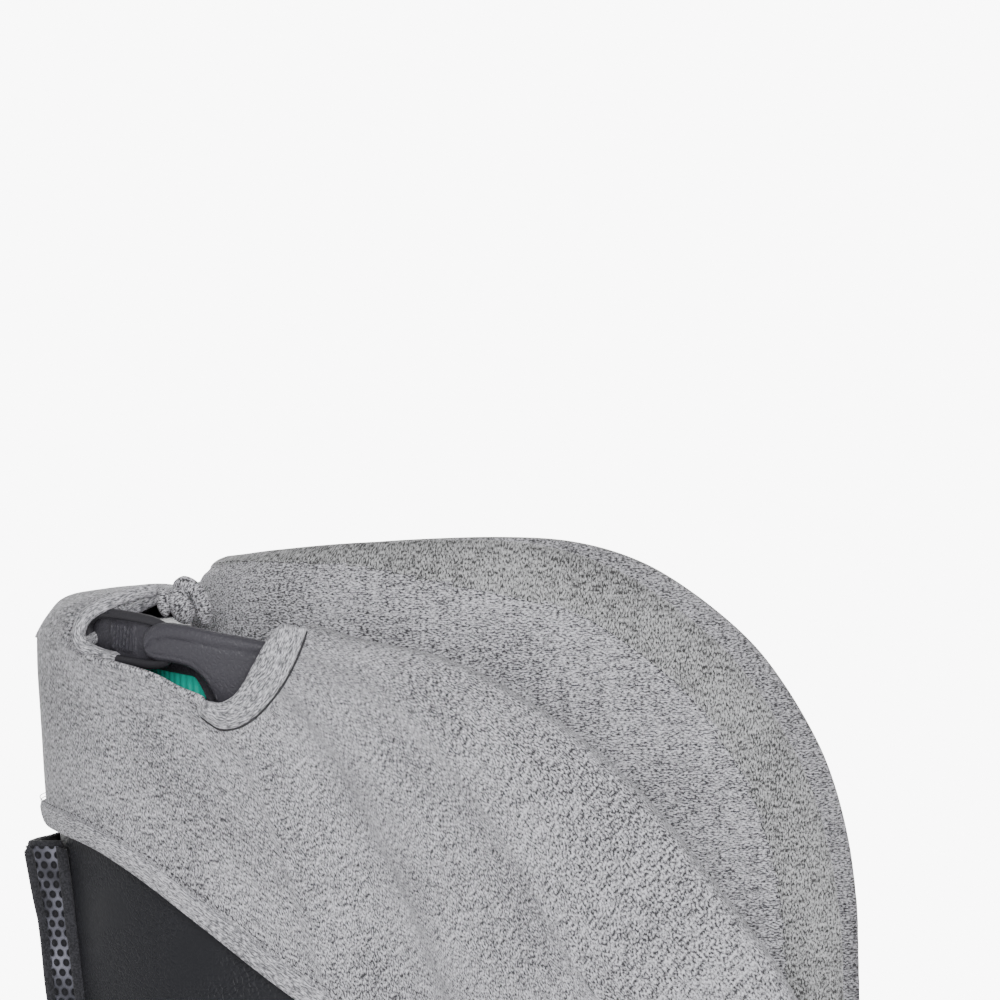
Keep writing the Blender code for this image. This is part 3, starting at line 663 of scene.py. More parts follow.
def makeHems():
    spots, normals = resample(*coverEdge(1, 220), 0.004)
    width = cover["hemWidth"]
    hem = [(0.0, -0.0022), (-0.0006, -0.0006), (0.0002, 0.0010), (0.0020, 0.0016), (width * 0.5, 0.0018),
           (width - 0.0016, 0.0014), (width, 0.0004), (width, -0.0022)]
    flip = [(-a, h) for a, h in hem]
    bandPiece("lower_hem", spots, normals, flip, hemKnit, "shell", "melange_fabric")
    for k, across in enumerate((width + 0.0012, width + 0.0030)):
        stitchRow("lower_hem_stitches_" + str(k + 1), spots, normals, -across, threadDarkAndGapShadow if k else threadPale,
                  "shell", "melange_fabric")
    print("cover hems done")


makeShellCover()
makeHems()


# Moulded shell and its lining
shell = {"lines": 110, "rows": 44, "wall": 0.004, "ridgeDrop": 0.043, "ridgeWide": 0.0028, "ridgeHigh": 0.0013}
lining = {"out": -0.0064, "in": -0.018, "puff": 0.0042, "seams": (0.33, 0.62)}


def shellLimits(t):
    return angleAt(shellTopLine, t), fan["frontAngle"]


def shellBump(angle, t, offset):
    if offset < -0.001:
        return 0.0
    spot = onShell(angle, t, 0)
    drop = float(np.interp(spot.y, hemLine[:, 0], hemLine[:, 1])) - spot.z
    ridge = shell["ridgeHigh"] * bell(drop - shell["ridgeDrop"], shell["ridgeWide"])
    panel = -0.0012 * ramp(0.060, 0.066, drop) * (1 - ramp(0.150, 0.156, drop)) * ramp(0.60, 0.66, abs(t))
    return ridge * ramp(0.45, 0.6, abs(t)) + panel


def makeShell():
    lines = evenLines(shellLimits, shell["lines"], 0.995)
    rows = shell["rows"]
    ring = [(k / rows, 0.0) for k in range(rows + 1)] + [(1 - k / rows, -shell["wall"]) for k in range(rows + 1)]
    ring.append(ring[0])
    skinPiece("shell_moulding", lines, shellLimits, ring, shellPlastic, "shell", "shell_plastic",
              replaces=("seat_shell",), bump=shellBump)


def liningBump(angle, t, offset):
    if offset > -0.012:
        return 0.0
    puff = 1.0
    for seam in lining["seams"]:
        gap = abs(abs(t) - seam) / 0.045
        puff *= 1 - math.exp(-gap * gap)
    ends = ramp(0.995, 0.93, abs(t))
    return -lining["puff"] * puff * ends + ripple(onShell(angle, t, 0), 0.06, 0.0008, 3.0)


def makeLining():
    lines = evenLines(shellLimits, 120, 0.992)
    rows = 40
    ring = [(k / rows, lining["out"]) for k in range(rows + 1)]
    ring += [(1 - k / rows, lining["in"]) for k in range(rows + 1)] + [(0.0, lining["out"])]
    piece = skinPiece("inner_lining", lines, shellLimits, ring, liningKnit, "shell", "melange_fabric",
                      replaces=("inner_cover",), bump=liningBump)
    for side, sign in sides:
        for k, seam in enumerate(lining["seams"]):
            top, bottom = shellLimits(sign * seam)
            angles = np.linspace(top + 0.03, bottom - 0.03, 90)
            spots = [onShell(a, sign * seam, lining["in"] - 0.0003) for a in angles]
            normals = [-shellNormal(a, sign * seam) for a in angles]
            stitchRow("lining_stitches_" + side + "_" + str(k + 1), spots, normals, 0.0, threadDarkAndGapShadow, "shell",
                      "melange_fabric", pitch=0.005, length=0.0034)
    front = np.linspace(-0.985, 0.985, 120)
    angle = fan["frontAngle"]
    spots = [onShell(angle, t, -0.0095) for t in front]
    outward = Vector((0, -math.sin(angle), -math.cos(angle)))
    bandPiece("front_roll", spots, [outward] * len(spots), roundProfile(0.0062, 12), edgeKnit, "shell",
              "melange_fabric", taper=0.01)
    print("shell and lining done")


makeShell()
makeLining()


# Edges of the handle's opening, the hood over its rear and the knot in front
opening = {"strapFrom": 0.2225, "foldRadius": 0.0021, "hoodEnd": 0.535, "hoodFull": 0.33, "hoodRoll": 0.0031}


def edgeRun(low, high, side, lift=0.0):
    found = []
    for t in np.linspace(0.02, 0.9995, 700):
        spot = onShell(coverLimits(side * t)[0], side * t, cover["out"] + lift)
        if low <= spot.y <= high and (spot.z < 0.6165 or spot.y > 0.16):
            found.append((spot, shellNormal(coverLimits(side * t)[0], side * t)))
    return [f[0] for f in found], [f[1] for f in found]


def hoodScale(t):
    return 1 - ramp(opening["hoodFull"], opening["hoodEnd"], abs(t))


# how far in and how far up from the cover's top edge
hoodLine = smoothLine([(0.0, -0.003), (0.0030, 0.004), (0.0075, 0.0105), (0.0130, 0.0150), (0.022, 0.0185),
                       (0.034, 0.0208), (0.050, 0.0212), (0.060, 0.0195)], 3)


def hoodPoint(t, share, lift):
    top = angleAt(coverTopLine, t)
    base = onShell(top, t, cover["out"] - 0.0006)
    inward = -shellNormal(top, t)
    inward.z = 0
    inward.normalize()
    place = share * (len(hoodLine) - 1)
    k = min(int(place), len(hoodLine) - 2)
    q, z = hoodLine[k] * (1 - place + k) + hoodLine[k + 1] * (place - k)
    size = 0.06 + 0.94 * hoodScale(t)
    run = hoodLine[k + 1] - hoodLine[k]
    run = run / np.linalg.norm(run)
    puff = 0.0016 * noise.noise(Vector((t * 7, share * 3, 2.0)))
    q = q * size - run[1] * (lift + puff) * size
    z = base.z + z * size + run[0] * (lift + puff) * size
    return Vector((base.x, base.y, 0)) + inward * q + Vector((0, 0, z))


def makeHood():
    rows = 26
    ring = [(k / rows, 0.0014) for k in range(rows + 1)] + [(1 - k / rows, -0.0006) for k in range(rows + 1)]
    ring.append(ring[0])
    lines = opening["hoodEnd"] * np.linspace(-1, 1, 121)
    piece = gridPiece("rear_hood", len(lines) - 1, len(ring) - 1,
                      lambda u, v: hoodPoint(lines[round(u * 120)], *ring[round(v * (len(ring) - 1))]),
                      coverKnit, "shell", "melange_fabric", replaces=("cover_flap",))
    spots = [hoodPoint(t, 1.0, 0.0) for t in lines]
    normals = [hoodPoint(t, 1.0, 0.004) - hoodPoint(t, 1.0, 0.0) for t in lines]
    bandPiece("hood_roll", spots, normals, roundProfile(opening["hoodRoll"], 12), hemKnit, "shell", "melange_fabric")
    for side, sign in sides:
        makeStrapBand(side, sign)
        spots, normals = edgeRun(opening["strapFrom"] - 0.004, 0.284, sign, -0.0016)
        spots, normals = resample(spots, normals, 0.002)
        bandPiece("opening_fold_" + side, spots, normals, roundProfile(opening["foldRadius"], 10), coverKnit, "shell",
                  "melange_fabric", taper=0.003)
        loop = smoothLine([(0.262, 0.5985), (0.274, 0.6015), (0.2835, 0.6065), (0.2858, 0.6140), (0.2810, 0.6225),
                           (0.270, 0.6285), (0.257, 0.6330), (0.2455, 0.6350)], 6)
        x = np.interp(loop[:, 0], [0.246, 0.262, 0.274, 0.286], [0.158, 0.168, 0.174, 0.176]) * sign
        spots = [Vector((a, y, z)) for a, (y, z) in zip(x, loop)]
        bandPiece("opening_roll_" + side, spots, [Vector((sign, 0.3, 0.5))] * len(spots), roundProfile(0.0036, 12),
                  hemKnit, "shell", "melange_fabric", taper=0.006)
        makeKnot(side, sign)
    print("opening and hood done")


# The band that binds the opening's front: outer and inner edges as (y, z)
strapOuter = smoothLine([(0.2235, 0.5735), (0.2170, 0.5685), (0.2105, 0.5652), (0.2010, 0.5668), (0.1910, 0.5735),
                         (0.1810, 0.5850), (0.1740, 0.5965), (0.1690, 0.6080), (0.1665, 0.6155)], 8)
strapInner = smoothLine([(0.2195, 0.5800), (0.2150, 0.5790), (0.2105, 0.5788), (0.2050, 0.5815), (0.2000, 0.5870),
                         (0.1945, 0.5965), (0.1885, 0.6070), (0.1835, 0.6140), (0.1790, 0.6185)], 8)


def makeStrapBand(side, sign):
    across = [(0.0, -0.0020), (0.0, 0.0004), (0.05, 0.0016), (0.25, 0.0023), (0.5, 0.0026), (0.75, 0.0024),
              (0.93, 0.0014), (1.0, 0.0), (1.0, -0.0014), (0.9, -0.0024), (0.0, -0.0020)]
    count = len(strapOuter) - 1

    def place(u, v):
        k = round(u * count)
        share, lift = across[round(v * (len(across) - 1))]
        end = min(1.0, math.sin(math.pi * min(max(u, 0.0), 1.0)) * 6 + 0.15)
        y, z = strapOuter[k] * (1 - share) + strapInner[k] * share
        return onSide(y, z, cover["out"] + lift * (end if lift > 0 else 1.0), sign)[0]

    gridPiece("opening_strap_" + side, count, len(across) - 1, place, hemKnit, "shell", "melange_fabric")
    # a thin dark tube along the band's outer edge: painted shadow of the gap there, in the dark thread material
    line = [onSide(y, z, cover["out"] + 0.0004, sign) for y, z in strapOuter - np.array((0.0003, 0.0004))]
    bandPiece("opening_strap_gap_shadow_" + side, [p[0] for p in line], [p[1] for p in line], roundProfile(0.0006, 8),
              threadDarkAndGapShadow, "shell", "melange_fabric", taper=0.004)


def makeKnot(side, sign):
    rolls = ((((0.2475, 0.6350), (0.2450, 0.6330), (0.2440, 0.6275), (0.2430, 0.6205)), 0.0036),
             (((0.2420, 0.6345), (0.2395, 0.6320), (0.2355, 0.6260), (0.2310, 0.6175)), 0.0060),
             (((0.2400, 0.6365), (0.2330, 0.6370), (0.2270, 0.6320), (0.2240, 0.6250), (0.2230, 0.6165)), 0.0044))
    for k, (line, radius) in enumerate(rolls):
        line = smoothLine(line, 8)
        spots = [Vector((sign * (0.162 + 0.0015 * (1 - k)), y, z)) for y, z in line]
        bandPiece("knot_roll_" + side + "_" + str(k + 1), spots, [Vector((sign, 0, 0))] * len(spots),
                  roundProfile(radius, 16), coverKnit, "shell", "melange_fabric", taper=0.006)


makeHood()


# Headrest: a padded wing cover over its plastic back
head = {"half": 0.176, "rear": 0.2435, "front": -0.100, "start": 0.05, "lean": 0.27, "leanTop": 0.552,
        "leanSpan": 0.15, "edge": 0.034, "columns": 190, "rows": 44, "low": 0.447, "turnIn": 0.0104,
        "top": [(-0.1005, 0.405), (-0.0995, 0.440), (-0.098, 0.465), (-0.094, 0.495), (-0.0865, 0.525),
                (-0.0765, 0.55), (-0.059, 0.58), (-0.039, 0.605), (-0.009, 0.63), (0.021, 0.6475),
                (0.056, 0.6575), (0.096, 0.660), (0.151, 0.6585), (0.20, 0.655), (0.25, 0.650)],
        "hem": [(-0.1005, 0.375), (-0.094, 0.360), (-0.06, 0.365), (-0.02, 0.395), (0.036, 0.44), (0.079, 0.472),
                (0.092, 0.482), (0.126, 0.5095), (0.162, 0.532), (0.202, 0.548), (0.25, 0.552)],
        "seam": [(-0.11, 0.030), (0.07, 0.030), (0.09, 0.026), (0.15, 0.013), (0.21, 0.007), (0.26, 0.007)]}


def headPlan():
    spots, normals = [], []
    power = 3.0
    deep = head["rear"] - head["start"]
    for y in np.linspace(head["front"], head["start"], 60)[:-1]:
        spots.append((head["half"], y))
        normals.append((1.0, 0.0))
    for turn in np.linspace(math.pi / 2, 0, 140):
        a, b = math.sin(turn) ** (2 / power), math.cos(turn) ** (2 / power)
        out = np.array([a ** (power - 1) / head["half"], b ** (power - 1) / deep])
        out = out / np.linalg.norm(out)
        spots.append((head["half"] * a, head["start"] + deep * b))
        normals.append(tuple(out))
    spots, normals = np.array(spots), np.array(normals)
    along = np.concatenate([[0], np.cumsum(np.linalg.norm(np.diff(spots, axis=0), axis=1))])
    return along, spots, normals


planAlong, planSpots, planNormals = headPlan()
headLength = planAlong[-1]


def planY(p):
    return float(np.interp(p, planAlong, planSpots[:, 1]))


def onHead(p, z, offset, side):
    x, y = (float(np.interp(p, planAlong, planSpots[:, k])) for k in (0, 1))
    nx, ny = (float(np.interp(p, planAlong, planNormals[:, k])) for k in (0, 1))
    share = head["lean"] * min(1.0, max(0.0, y / head["leanSpan"]))
    return Vector((side * (x + nx * offset), y + ny * offset + share * min(0.0, z - head["leanTop"]), z))


headTopSmooth, headHemSmooth = smoothLine(head["top"], 8), smoothLine(head["hem"], 8)


def headEdges():
    # the top edge and the hem, unrolled: p along the plan and z
    fine = np.linspace(0, headLength, 400)
    top = np.array([(p, np.interp(planY(p), headTopSmooth[:, 0], headTopSmooth[:, 1])) for p in fine])
    hem = np.array([(p, np.interp(planY(p), headHemSmooth[:, 0], headHemSmooth[:, 1])) for p in fine])
    tip = smoothLine([(0.0045, 0.3640), (0.0012, 0.3700), (0.0, 0.380), (0.0, 0.395), top[1]], 6)
    top = np.vstack([tip[:-1], top[1:]])
    start = int(np.argmax(hem[:, 0] > 0.006))
    return top, hem[start:]


def evenAlong(line, count):
    along = np.concatenate([[0], np.cumsum(np.linalg.norm(np.diff(line, axis=0), axis=1))])
    where = along[-1] * np.linspace(0, 1, count)
    return np.stack([np.interp(where, along, line[:, k]) for k in (0, 1)], axis=1)


headTop, headHem = headEdges()
headTopEven = evenAlong(headTop, head["columns"] + 1)
headHemEven = evenAlong(headHem, head["columns"] + 1)


def edgeGap(spot):
    return float(np.min(np.linalg.norm(headTop - np.array(spot), axis=1)))


def heightOn(line, y):
    return float(np.interp(y, [q[0] for q in line], [q[1] for q in line]))


def seamGap(p):
    return heightOn(head["seam"], planY(p))


def headColumns():
    rows = head["rows"]
    shares = np.linspace(0, 1, rows + 1) ** 1.6
    columns = []
    for top, hem in zip(headTopEven, headHemEven):
        column = []
        y = planY(top[0])
        low = hem[1] - 0.002 - 0.098 * min(1.0, max(0.0, (planY(hem[0]) + 0.02) / 0.09))
        low = max(low, head["low"]) if y > 0.12 else low
        for share in shares[::-1]:
            spot = top + (hem - top) * share
            d = edgeGap(spot) if share > 0 else 0.0
            g = math.sqrt(max(0.0, 1 - (1 - min(1.0, d / head["edge"])) ** 2))
            groove = -0.0013 * bell(d - seamGap(spot[0]), 0.0016)
            puff = 0.0007 * noise.noise(Vector((spot[0] * 14, spot[1] * 14, 1))) * ramp(0.0, 0.02, d)
            column.append((spot[0], spot[1], -0.020 + 0.020 * g + groove + puff, d))
        for share in shares[1:]:
            bottom = np.array((hem[0], low))
            spot = top + (bottom - top) * share
            d = edgeGap(spot)
            g = math.sqrt(max(0.0, 1 - (1 - min(1.0, d / head["edge"])) ** 2))
            column.append((spot[0], spot[1], -0.020 - 0.020 * g, d))
        high = top[1] - 0.024 if planY(hem[0]) > -0.02 else hem[1] + 0.006
        high = min(high, hem[1] + 0.03)
        rear, front = -head["turnIn"], -0.0040
        column += [(hem[0], low, rear, 1.0), (hem[0], high, rear, 1.0), (hem[0], high, front, 1.0),
                   (hem[0], hem[1], front, 1.0)]
        column.append(column[0])
        columns.append(column)
    return columns


def makeHeadrest():
    half = headColumns()
    near = [(c, -1) for c in half]
    far = [(c, 1) for c in reversed(half)][1:]
    both = near + far
    rows = len(half[0]) - 1

    def pick(u, v):
        column, side = both[round(u * (len(both) - 1))]
        return column[round(v * rows)], side

    def place(u, v):
        (p, z, offset, gap), side = pick(u, v)
        return onHead(p, z, offset, side)

    def flat(u, v):
        (p, z, offset, gap), side = pick(u, v)
        return (p if side < 0 else 2 * headLength - p, z + (0.9 if v > head["rows"] / rows else 0))

    piece = gridPiece("headrest_knit", len(both) - 1, rows, place, headKnit, "headrest", "melange_fabric",
                      replaces=("headrest_cover",), flat=flat)
    # faces between the top edge and the seam get the darker knit, painted shade on the gusset band
    piece.data.materials.append(gussetShadedKnit)
    layer = piece.data.uv_layers[0].data
    for polygon in piece.data.polygons:
        u, v = layer[polygon.loop_start].uv
        if v < 0.9:
            p = u if u < headLength else 2 * headLength - u
            if edgeGap((p, v)) < seamGap(p) - 0.0008:
                polygon.material_index = 1
    for side, sign in sides:
        line = [spot for spot in headSeam() if planY(spot[0]) < 0.222]
        spots = [onHead(p, z, 0.0001, sign) for p, z in line]
        normals = [onHead(p, z, 0.004, sign) - onHead(p, z, 0.0, sign) for p, z in line]
        stitchRow("headrest_stitches_" + side, spots, normals, 0.0022 * sign, threadDarkAndGapShadow, "headrest",
                  "melange_fabric", pitch=0.0034)
    whole = [(q, -1) for q in headHemEven] + [(q, 1) for q in headHemEven[::-1]][1:]
    spots = [onHead(q[0], q[1] + 0.0002, 0.0, side) for q, side in whole]
    normals = [onHead(q[0], q[1], 0.004, side) - onHead(q[0], q[1], 0.0, side) for q, side in whole]
    spots, normals = resample(spots, normals, 0.004)
    width = 0.011
    hem = [(0.0, -0.0022), (-0.0006, -0.0006), (0.0002, 0.0008), (0.0020, 0.0013), (width - 0.0016, 0.0012),
           (width, 0.0002), (width, -0.0022)]
    bandPiece("headrest_hem", spots, normals, [(-a, h) for a, h in hem], hemKnit, "headrest", "melange_fabric")
    stitchRow("headrest_hem_stitches", spots, normals, -(width + 0.0012), threadPale, "headrest", "melange_fabric")


def headSeam():
    # where the distance from the top edge equals the seam's
    found = []
    for top, hem in zip(headTopEven[2:-1], headHemEven[2:-1]):
        for share in np.linspace(0.01, 1, 160):
            spot = top + (hem - top) * share
            if edgeGap(spot) >= seamGap(spot[0]):
                found.append(tuple(spot))
                break
    return found


def makeHeadBack():
    fine = np.linspace(0.094, headLength, 70)
    both = [(p, -1) for p in fine] + [(p, 1) for p in fine[::-1]][1:]
    rows, front, rear = 16, -0.005, -0.009
    ring = [(k / rows, front) for k in range(rows + 1)] + [(1 - k / rows, rear) for k in range(rows + 1)]
    ring.append(ring[0])

    def place(u, v):
        p, side = both[round(u * (len(both) - 1))]
        share, offset = ring[round(v * (len(ring) - 1))]
        y = planY(p)
        top = heightOn(head["top"], y) - 0.027
        hem = heightOn(head["hem"], y)
        low = max(hem - 0.10, 0.415)
        top = min(top, hem + 0.026)
        z = low + (top - low) * share
        if offset > -0.006:
            offset += 0.0008 * bell(z - low - 0.02, 0.003)
        return onHead(p, z, offset, side)

    gridPiece("headrest_back", len(both) - 1, len(ring) - 1, place, backPlastic, "headrest", "shell_plastic",
              replaces=("headrest_shell",))
    print("headrest done")


# the gusset band's knit: a darker copy of the headrest knit, painted shade on the band that turns away from the light
gussetShadedKnit = fabricMaterial("gussetShadedKnit", (0.60, 0.60, 0.61), (0.04, 0.04, 0.04), (0.0008, 0.0017, 0.0011))
makeHeadrest()
makeHeadBack()


# Handle: bar with its legs, collar with a bezel and a ribbed pad, and the green lever below
handle = {"top": 0.618, "corner": 0.250, "slope": 0.16, "half": 0.180, "rear": 0.266, "front": 0.172,
          "start": 0.175, "scallop": 0.0012, "bezelMiddle": (0.2600, 0.6100), "bezelSize": (0.046, 0.0230),
          "bezelTilt": 0.14, "bezelTube": 0.0026, "leverFrom": 0.2155, "padIn": 0.004}


def uPath(half, rear, front, start, straight, count, power=3.0):
    near = [(half, y, (1.0, 0.0)) for y in np.linspace(front, start, straight)[:-1]]
    for turn in np.linspace(math.pi / 2, 0, count):
        a, b = math.sin(turn) ** (2 / power), math.cos(turn) ** (2 / power)
        nx, ny = a ** (power - 1) / half, b ** (power - 1) / (rear - start)
        size = math.hypot(nx, ny)
        near.append((half * a, start + (rear - start) * b, (nx / size, ny / size)))
    return [(-x, y, -nx, ny) for x, y, (nx, ny) in near] + [(x, y, nx, ny) for x, y, (nx, ny) in near[-2::-1]]


def sweepPiece(name, path, section, material, body, slot, replaces=()):
    rings = [section(y, i) for i, (x, y, nx, ny) in enumerate(path)]
    rows = len(rings[0])

    def place(u, v):
        i = round(u * (len(path) - 1))
        x, y, nx, ny = path[i]
        out, z = rings[i][round(v * rows) % rows]
        return Vector((x + nx * out, y + ny * out, z))

    return gridPiece(name, len(path) - 1, rows, place, material, body, slot, replaces)


def barTop(y):
    return handle["top"] - handle["slope"] * max(0.0, handle["corner"] - y)


def barSection(y, i):
    top = barTop(y)
    foot = top - 0.023 - 0.030 * ramp(0.0, 1.0, (0.226 - y) / 0.02)
    slot = top - 0.0075 if y > 0.205 else foot + 0.001
    groove = top - 0.0085
    return [(0.0045, foot), (0.0066, foot + 0.0015), (0.0070, groove - 0.0012), (0.0060, groove - 0.0004),
            (0.0060, groove + 0.0004), (0.0069, groove + 0.0012), (0.0066, top - 0.0040), (0.0056, top - 0.0018),
            (0.0036, top - 0.0004), (0.0, top), (-0.0036, top - 0.0004), (-0.0058, top - 0.0024),
            (-0.0068, top - 0.0060), (-0.0070, foot + 0.0015), (-0.0060, foot), (-0.0050, foot), (-0.0050, slot),
            (0.0042, slot)]


def leverSection(y, i):
    top = barTop(y) - 0.0185
    dip = handle["scallop"] * (0.5 + 0.5 * math.cos(i * math.pi / 2))
    foot = top - 0.0155 + dip
    return [(0.0020, foot), (0.0034 - dip * 0.5, foot + 0.0016), (0.0036 - dip * 0.7, foot + 0.006),
            (0.0035, top - 0.001), (0.0024, top), (-0.0024, top), (-0.0036, top - 0.001), (-0.0036, foot + 0.001),
            (-0.0026, foot)]


# Outer cheek of each arm, with its rounded rear end: upper and lower edges as (y, z)
cheekTop = smoothLine([(0.2515, 0.6080), (0.2505, 0.6135), (0.2460, 0.6172), (0.2390, 0.6185), (0.2265, 0.6168),
                       (0.2135, 0.6140), (0.2000, 0.6115), (0.1875, 0.6090), (0.1790, 0.6070)], 8)
cheekFoot = smoothLine([(0.2515, 0.6080), (0.2500, 0.6020), (0.2460, 0.5995), (0.2350, 0.5980), (0.2270, 0.5955),
                        (0.2210, 0.5905), (0.2170, 0.5840), (0.2135, 0.5770), (0.2050, 0.5700)], 8)


cheek = {"rear": -0.0066, "skirt": -0.0062, "thick": 0.0028, "edge": 0.0026}


def makeCheek(side, sign):
    count, rows = len(cheekTop) - 1, 26

    def place(u, v):
        k = round(u * count)
        back = v > 0.5
        share = 2 * v if not back else 2 * (1 - v)
        top, foot = cheekTop[k], cheekFoot[k]
        y, z = top * (1 - share) + foot * share
        length = float(np.linalg.norm(foot - top))
        gap = min(share, 1 - share) * length
        if back:
            return onSide(y, z, cheek["rear"], sign)[0]
        roll = math.sqrt(max(0.0, 1 - (1 - min(1.0, gap / cheek["edge"])) ** 2))
        fromTop = share * length
        groove = -0.0009 * bell(fromTop - 0.0080, 0.0007) * ramp(0.05, 0.2, u)
        rim = -0.0006 * bell((1 - share) * length - 0.0030, 0.0006) * ramp(0.15, 0.3, u)
        crown = 0.0010 * bell(fromTop - 0.0045, 0.0030)
        lift = (groove + rim + crown) * min(1.0, gap / 0.003)
        return onSide(y, z, cheek["skirt"] + cheek["thick"] * roll + lift, sign)[0]

    gridPiece("handle_cheek_" + side, count, 2 * rows, place, handlePlastic, "shell", "handle_plastic")


def barPath(count):
    return uPath(handle["half"], handle["rear"], handle["front"], handle["start"], 5, count)


def makeHandle():
    sweepPiece("handle_grip_bar", barPath(70), barSection, handlePlastic, "shell", "handle_plastic",
               ("handle_bar",))
    lever = [p for p in barPath(130) if p[1] > handle["leverFrom"]]
    sweepPiece("adjuster_lever_scalloped", lever, leverSection, greenPlastic, "lever", "lever_green",
               ("adjuster_lever",))
    for side, sign in sides:
        makeCheek(side, sign)
        (my, mz), (wide, high) = handle["bezelMiddle"], handle["bezelSize"]
        ring, turns = [], 64
        for k in range(turns + 1):
            turn = 2 * math.pi * k / turns
            c, s = math.cos(turn), math.sin(turn)
            along = math.copysign(abs(c) ** 0.55, c) * wide / 2
            ring.append(onSide(my + along, mz + handle["bezelTilt"] * along
                               + math.copysign(abs(s) ** 0.8, s) * high / 2, -0.0086, sign))
        bandPiece("collar_bezel_" + side, [r[0] for r in ring], [r[1] for r in ring],
                  roundProfile(handle["bezelTube"], 12), rimPlastic, "shell", "handle_plastic", closed=True)

        def pad(u, v):
            along = (u - 0.5) * (wide - handle["padIn"])
            z = mz + handle["bezelTilt"] * along + (v - 0.5) * (high - handle["padIn"])
            edge = min(u, 1 - u, v, 1 - v) * 12
            ribbed = ramp(0.40, 0.46, u) * ramp(0.78, 0.72, u) * ramp(0.10, 0.20, v) * ramp(0.90, 0.80, v)
            rib = 0.0011 * (0.5 + 0.5 * math.cos(2 * math.pi * (u * 22 + v))) * ribbed
            return onSide(my + along, z, -0.0104 + 0.0012 * ribbed + rib * min(1.0, edge), sign)[0]

        gridPiece("collar_pad_" + side, 120, 20, pad, handlePlastic, "shell", "handle_plastic")

    def gripPad(u, v):
        rib = 0.0008 * (0.5 + 0.5 * math.cos(2 * math.pi * u * 12))
        return Vector(((u - 0.5) * 0.050, 0.2955 + rib * min(1.0, min(v, 1 - v) * 8), 0.600 + 0.014 * v))

    gridPiece("grip_pad_ribs", 96, 10, gripPad, rimPlastic, "shell", "handle_plastic")
    print("handle done")


makeHandle()


# Storage pocket behind the shell: piped panel of spacer net
pocket = {"half": 0.105, "wall": 0.002, "pipe": 0.0026,
          "rings": [(0.2865, 0.3010, 0.362), (0.2915, 0.3068, 0.4075), (0.2990, 0.3145, 0.465),
                    (0.3035, 0.3240, 0.502)]}


def pocketAt(u, v, inner):
    # u runs from the near gusset's shell side over the panel to the far one, and v upward
    z = pocket["rings"][0][2] + v * (pocket["rings"][-1][2] - pocket["rings"][0][2])
    near, panel = (float(np.interp(z, [r[2] for r in pocket["rings"]], [r[k] for r in pocket["rings"]]))
                   for k in (0, 1))
    half, turn = pocket["half"] - inner, 0.007
    panel -= inner
    depth = panel - near - turn
    width = 2 * (half - turn)
    arc = math.pi / 2 * turn
    total = 2 * depth + 2 * arc + width
    way = u * total
    flip = 1
    if way > total / 2:
        way, flip = total - way, -1
    if way < depth:
        x, y = -half, near + way
    elif way < depth + arc:
        angle = (way - depth) / turn
        x, y = -half + turn * (1 - math.cos(angle)), near + depth + turn * math.sin(angle)
    else:
        x, y = -half + turn + way - depth - arc, panel
    sag = 0.0030 * math.sin(math.pi * u) ** 2 * v * v + 0.0012 * noise.noise(Vector((u * 6, v * 4, 5)))
    return Vector((x * flip, y - (sag if y > near + 0.004 else 0.0), z))


def makePocket():
    rows = 30
    ring = [(k / rows, 0.0) for k in range(rows + 1)] + [(1 - k / rows, pocket["wall"]) for k in range(rows + 1)]
    ring.append(ring[0])
    steps = len(ring) - 1
    wide, tall = 0.27, 0.145

    def place(u, v):
        return pocketAt(u, *ring[round(v * steps)])

    def flat(u, v):
        return u * wide, ring[round(v * steps)][0] * tall

    piece = gridPiece("pocket_net", 140, steps, place, pocketNet, "shell", "pocket_mesh",
                      replaces=("storage_pocket",), flat=flat)
    shares = np.linspace(0, 1, 120)
    spots = [pocketAt(u, 1.0, 0.001) for u in shares]
    normals = [Vector((0, 0, 1))] * len(spots)
    bandPiece("pocket_top_piping", spots, normals, ovalProfile(0.004, 0.006, start=-0.004, sides=14), edgeKnit,
              "shell", "pocket_mesh")
    rise = np.linspace(0.01, 1, 60)
    corner, base = 0.075, 0.012
    for side, sign in sides:
        spots = [pocketAt(corner if sign < 0 else 1 - corner, v, -0.0008) for v in rise]
        bandPiece("pocket_side_piping_" + side, spots, [Vector((sign, 0.6, 0))] * len(rise),
                  roundProfile(pocket["pipe"], 10), edgeKnit, "shell", "pocket_mesh", taper=0.003)
        spots = [pocketAt(base if sign < 0 else 1 - base, v, -0.0006) for v in rise]
        bandPiece("pocket_binding_" + side, spots, [Vector((sign, 0, 0))] * len(rise),
                  ovalProfile(0.006, 0.0026, start=-0.006, sides=12), edgeKnit, "shell", "pocket_mesh", taper=0.003)
    bottom = [pocketAt(u, 0.0, 0.0004) for u in shares]
    bandPiece("pocket_foot_binding", bottom, [Vector((0, 0, -1))] * len(bottom),
              ovalProfile(0.005, 0.005, start=-0.005, sides=12), edgeKnit, "shell", "pocket_mesh")
    print("pocket done")


makePocket()


# Padded pieces: each CAD solid blown up a little as cloth, then sewn down along its seams
def evaluatedCopy(piece):
    bpy.context.view_layer.update()
    graph = bpy.context.evaluated_depsgraph_get()
    return bpy.data.meshes.new_from_object(piece.evaluated_get(graph))


def nodeMesh(node):
    bm = bmesh.new()
    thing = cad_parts[node]
    bm.from_mesh(thing.data)
    bm.transform(thing.matrix_world)
    return bm


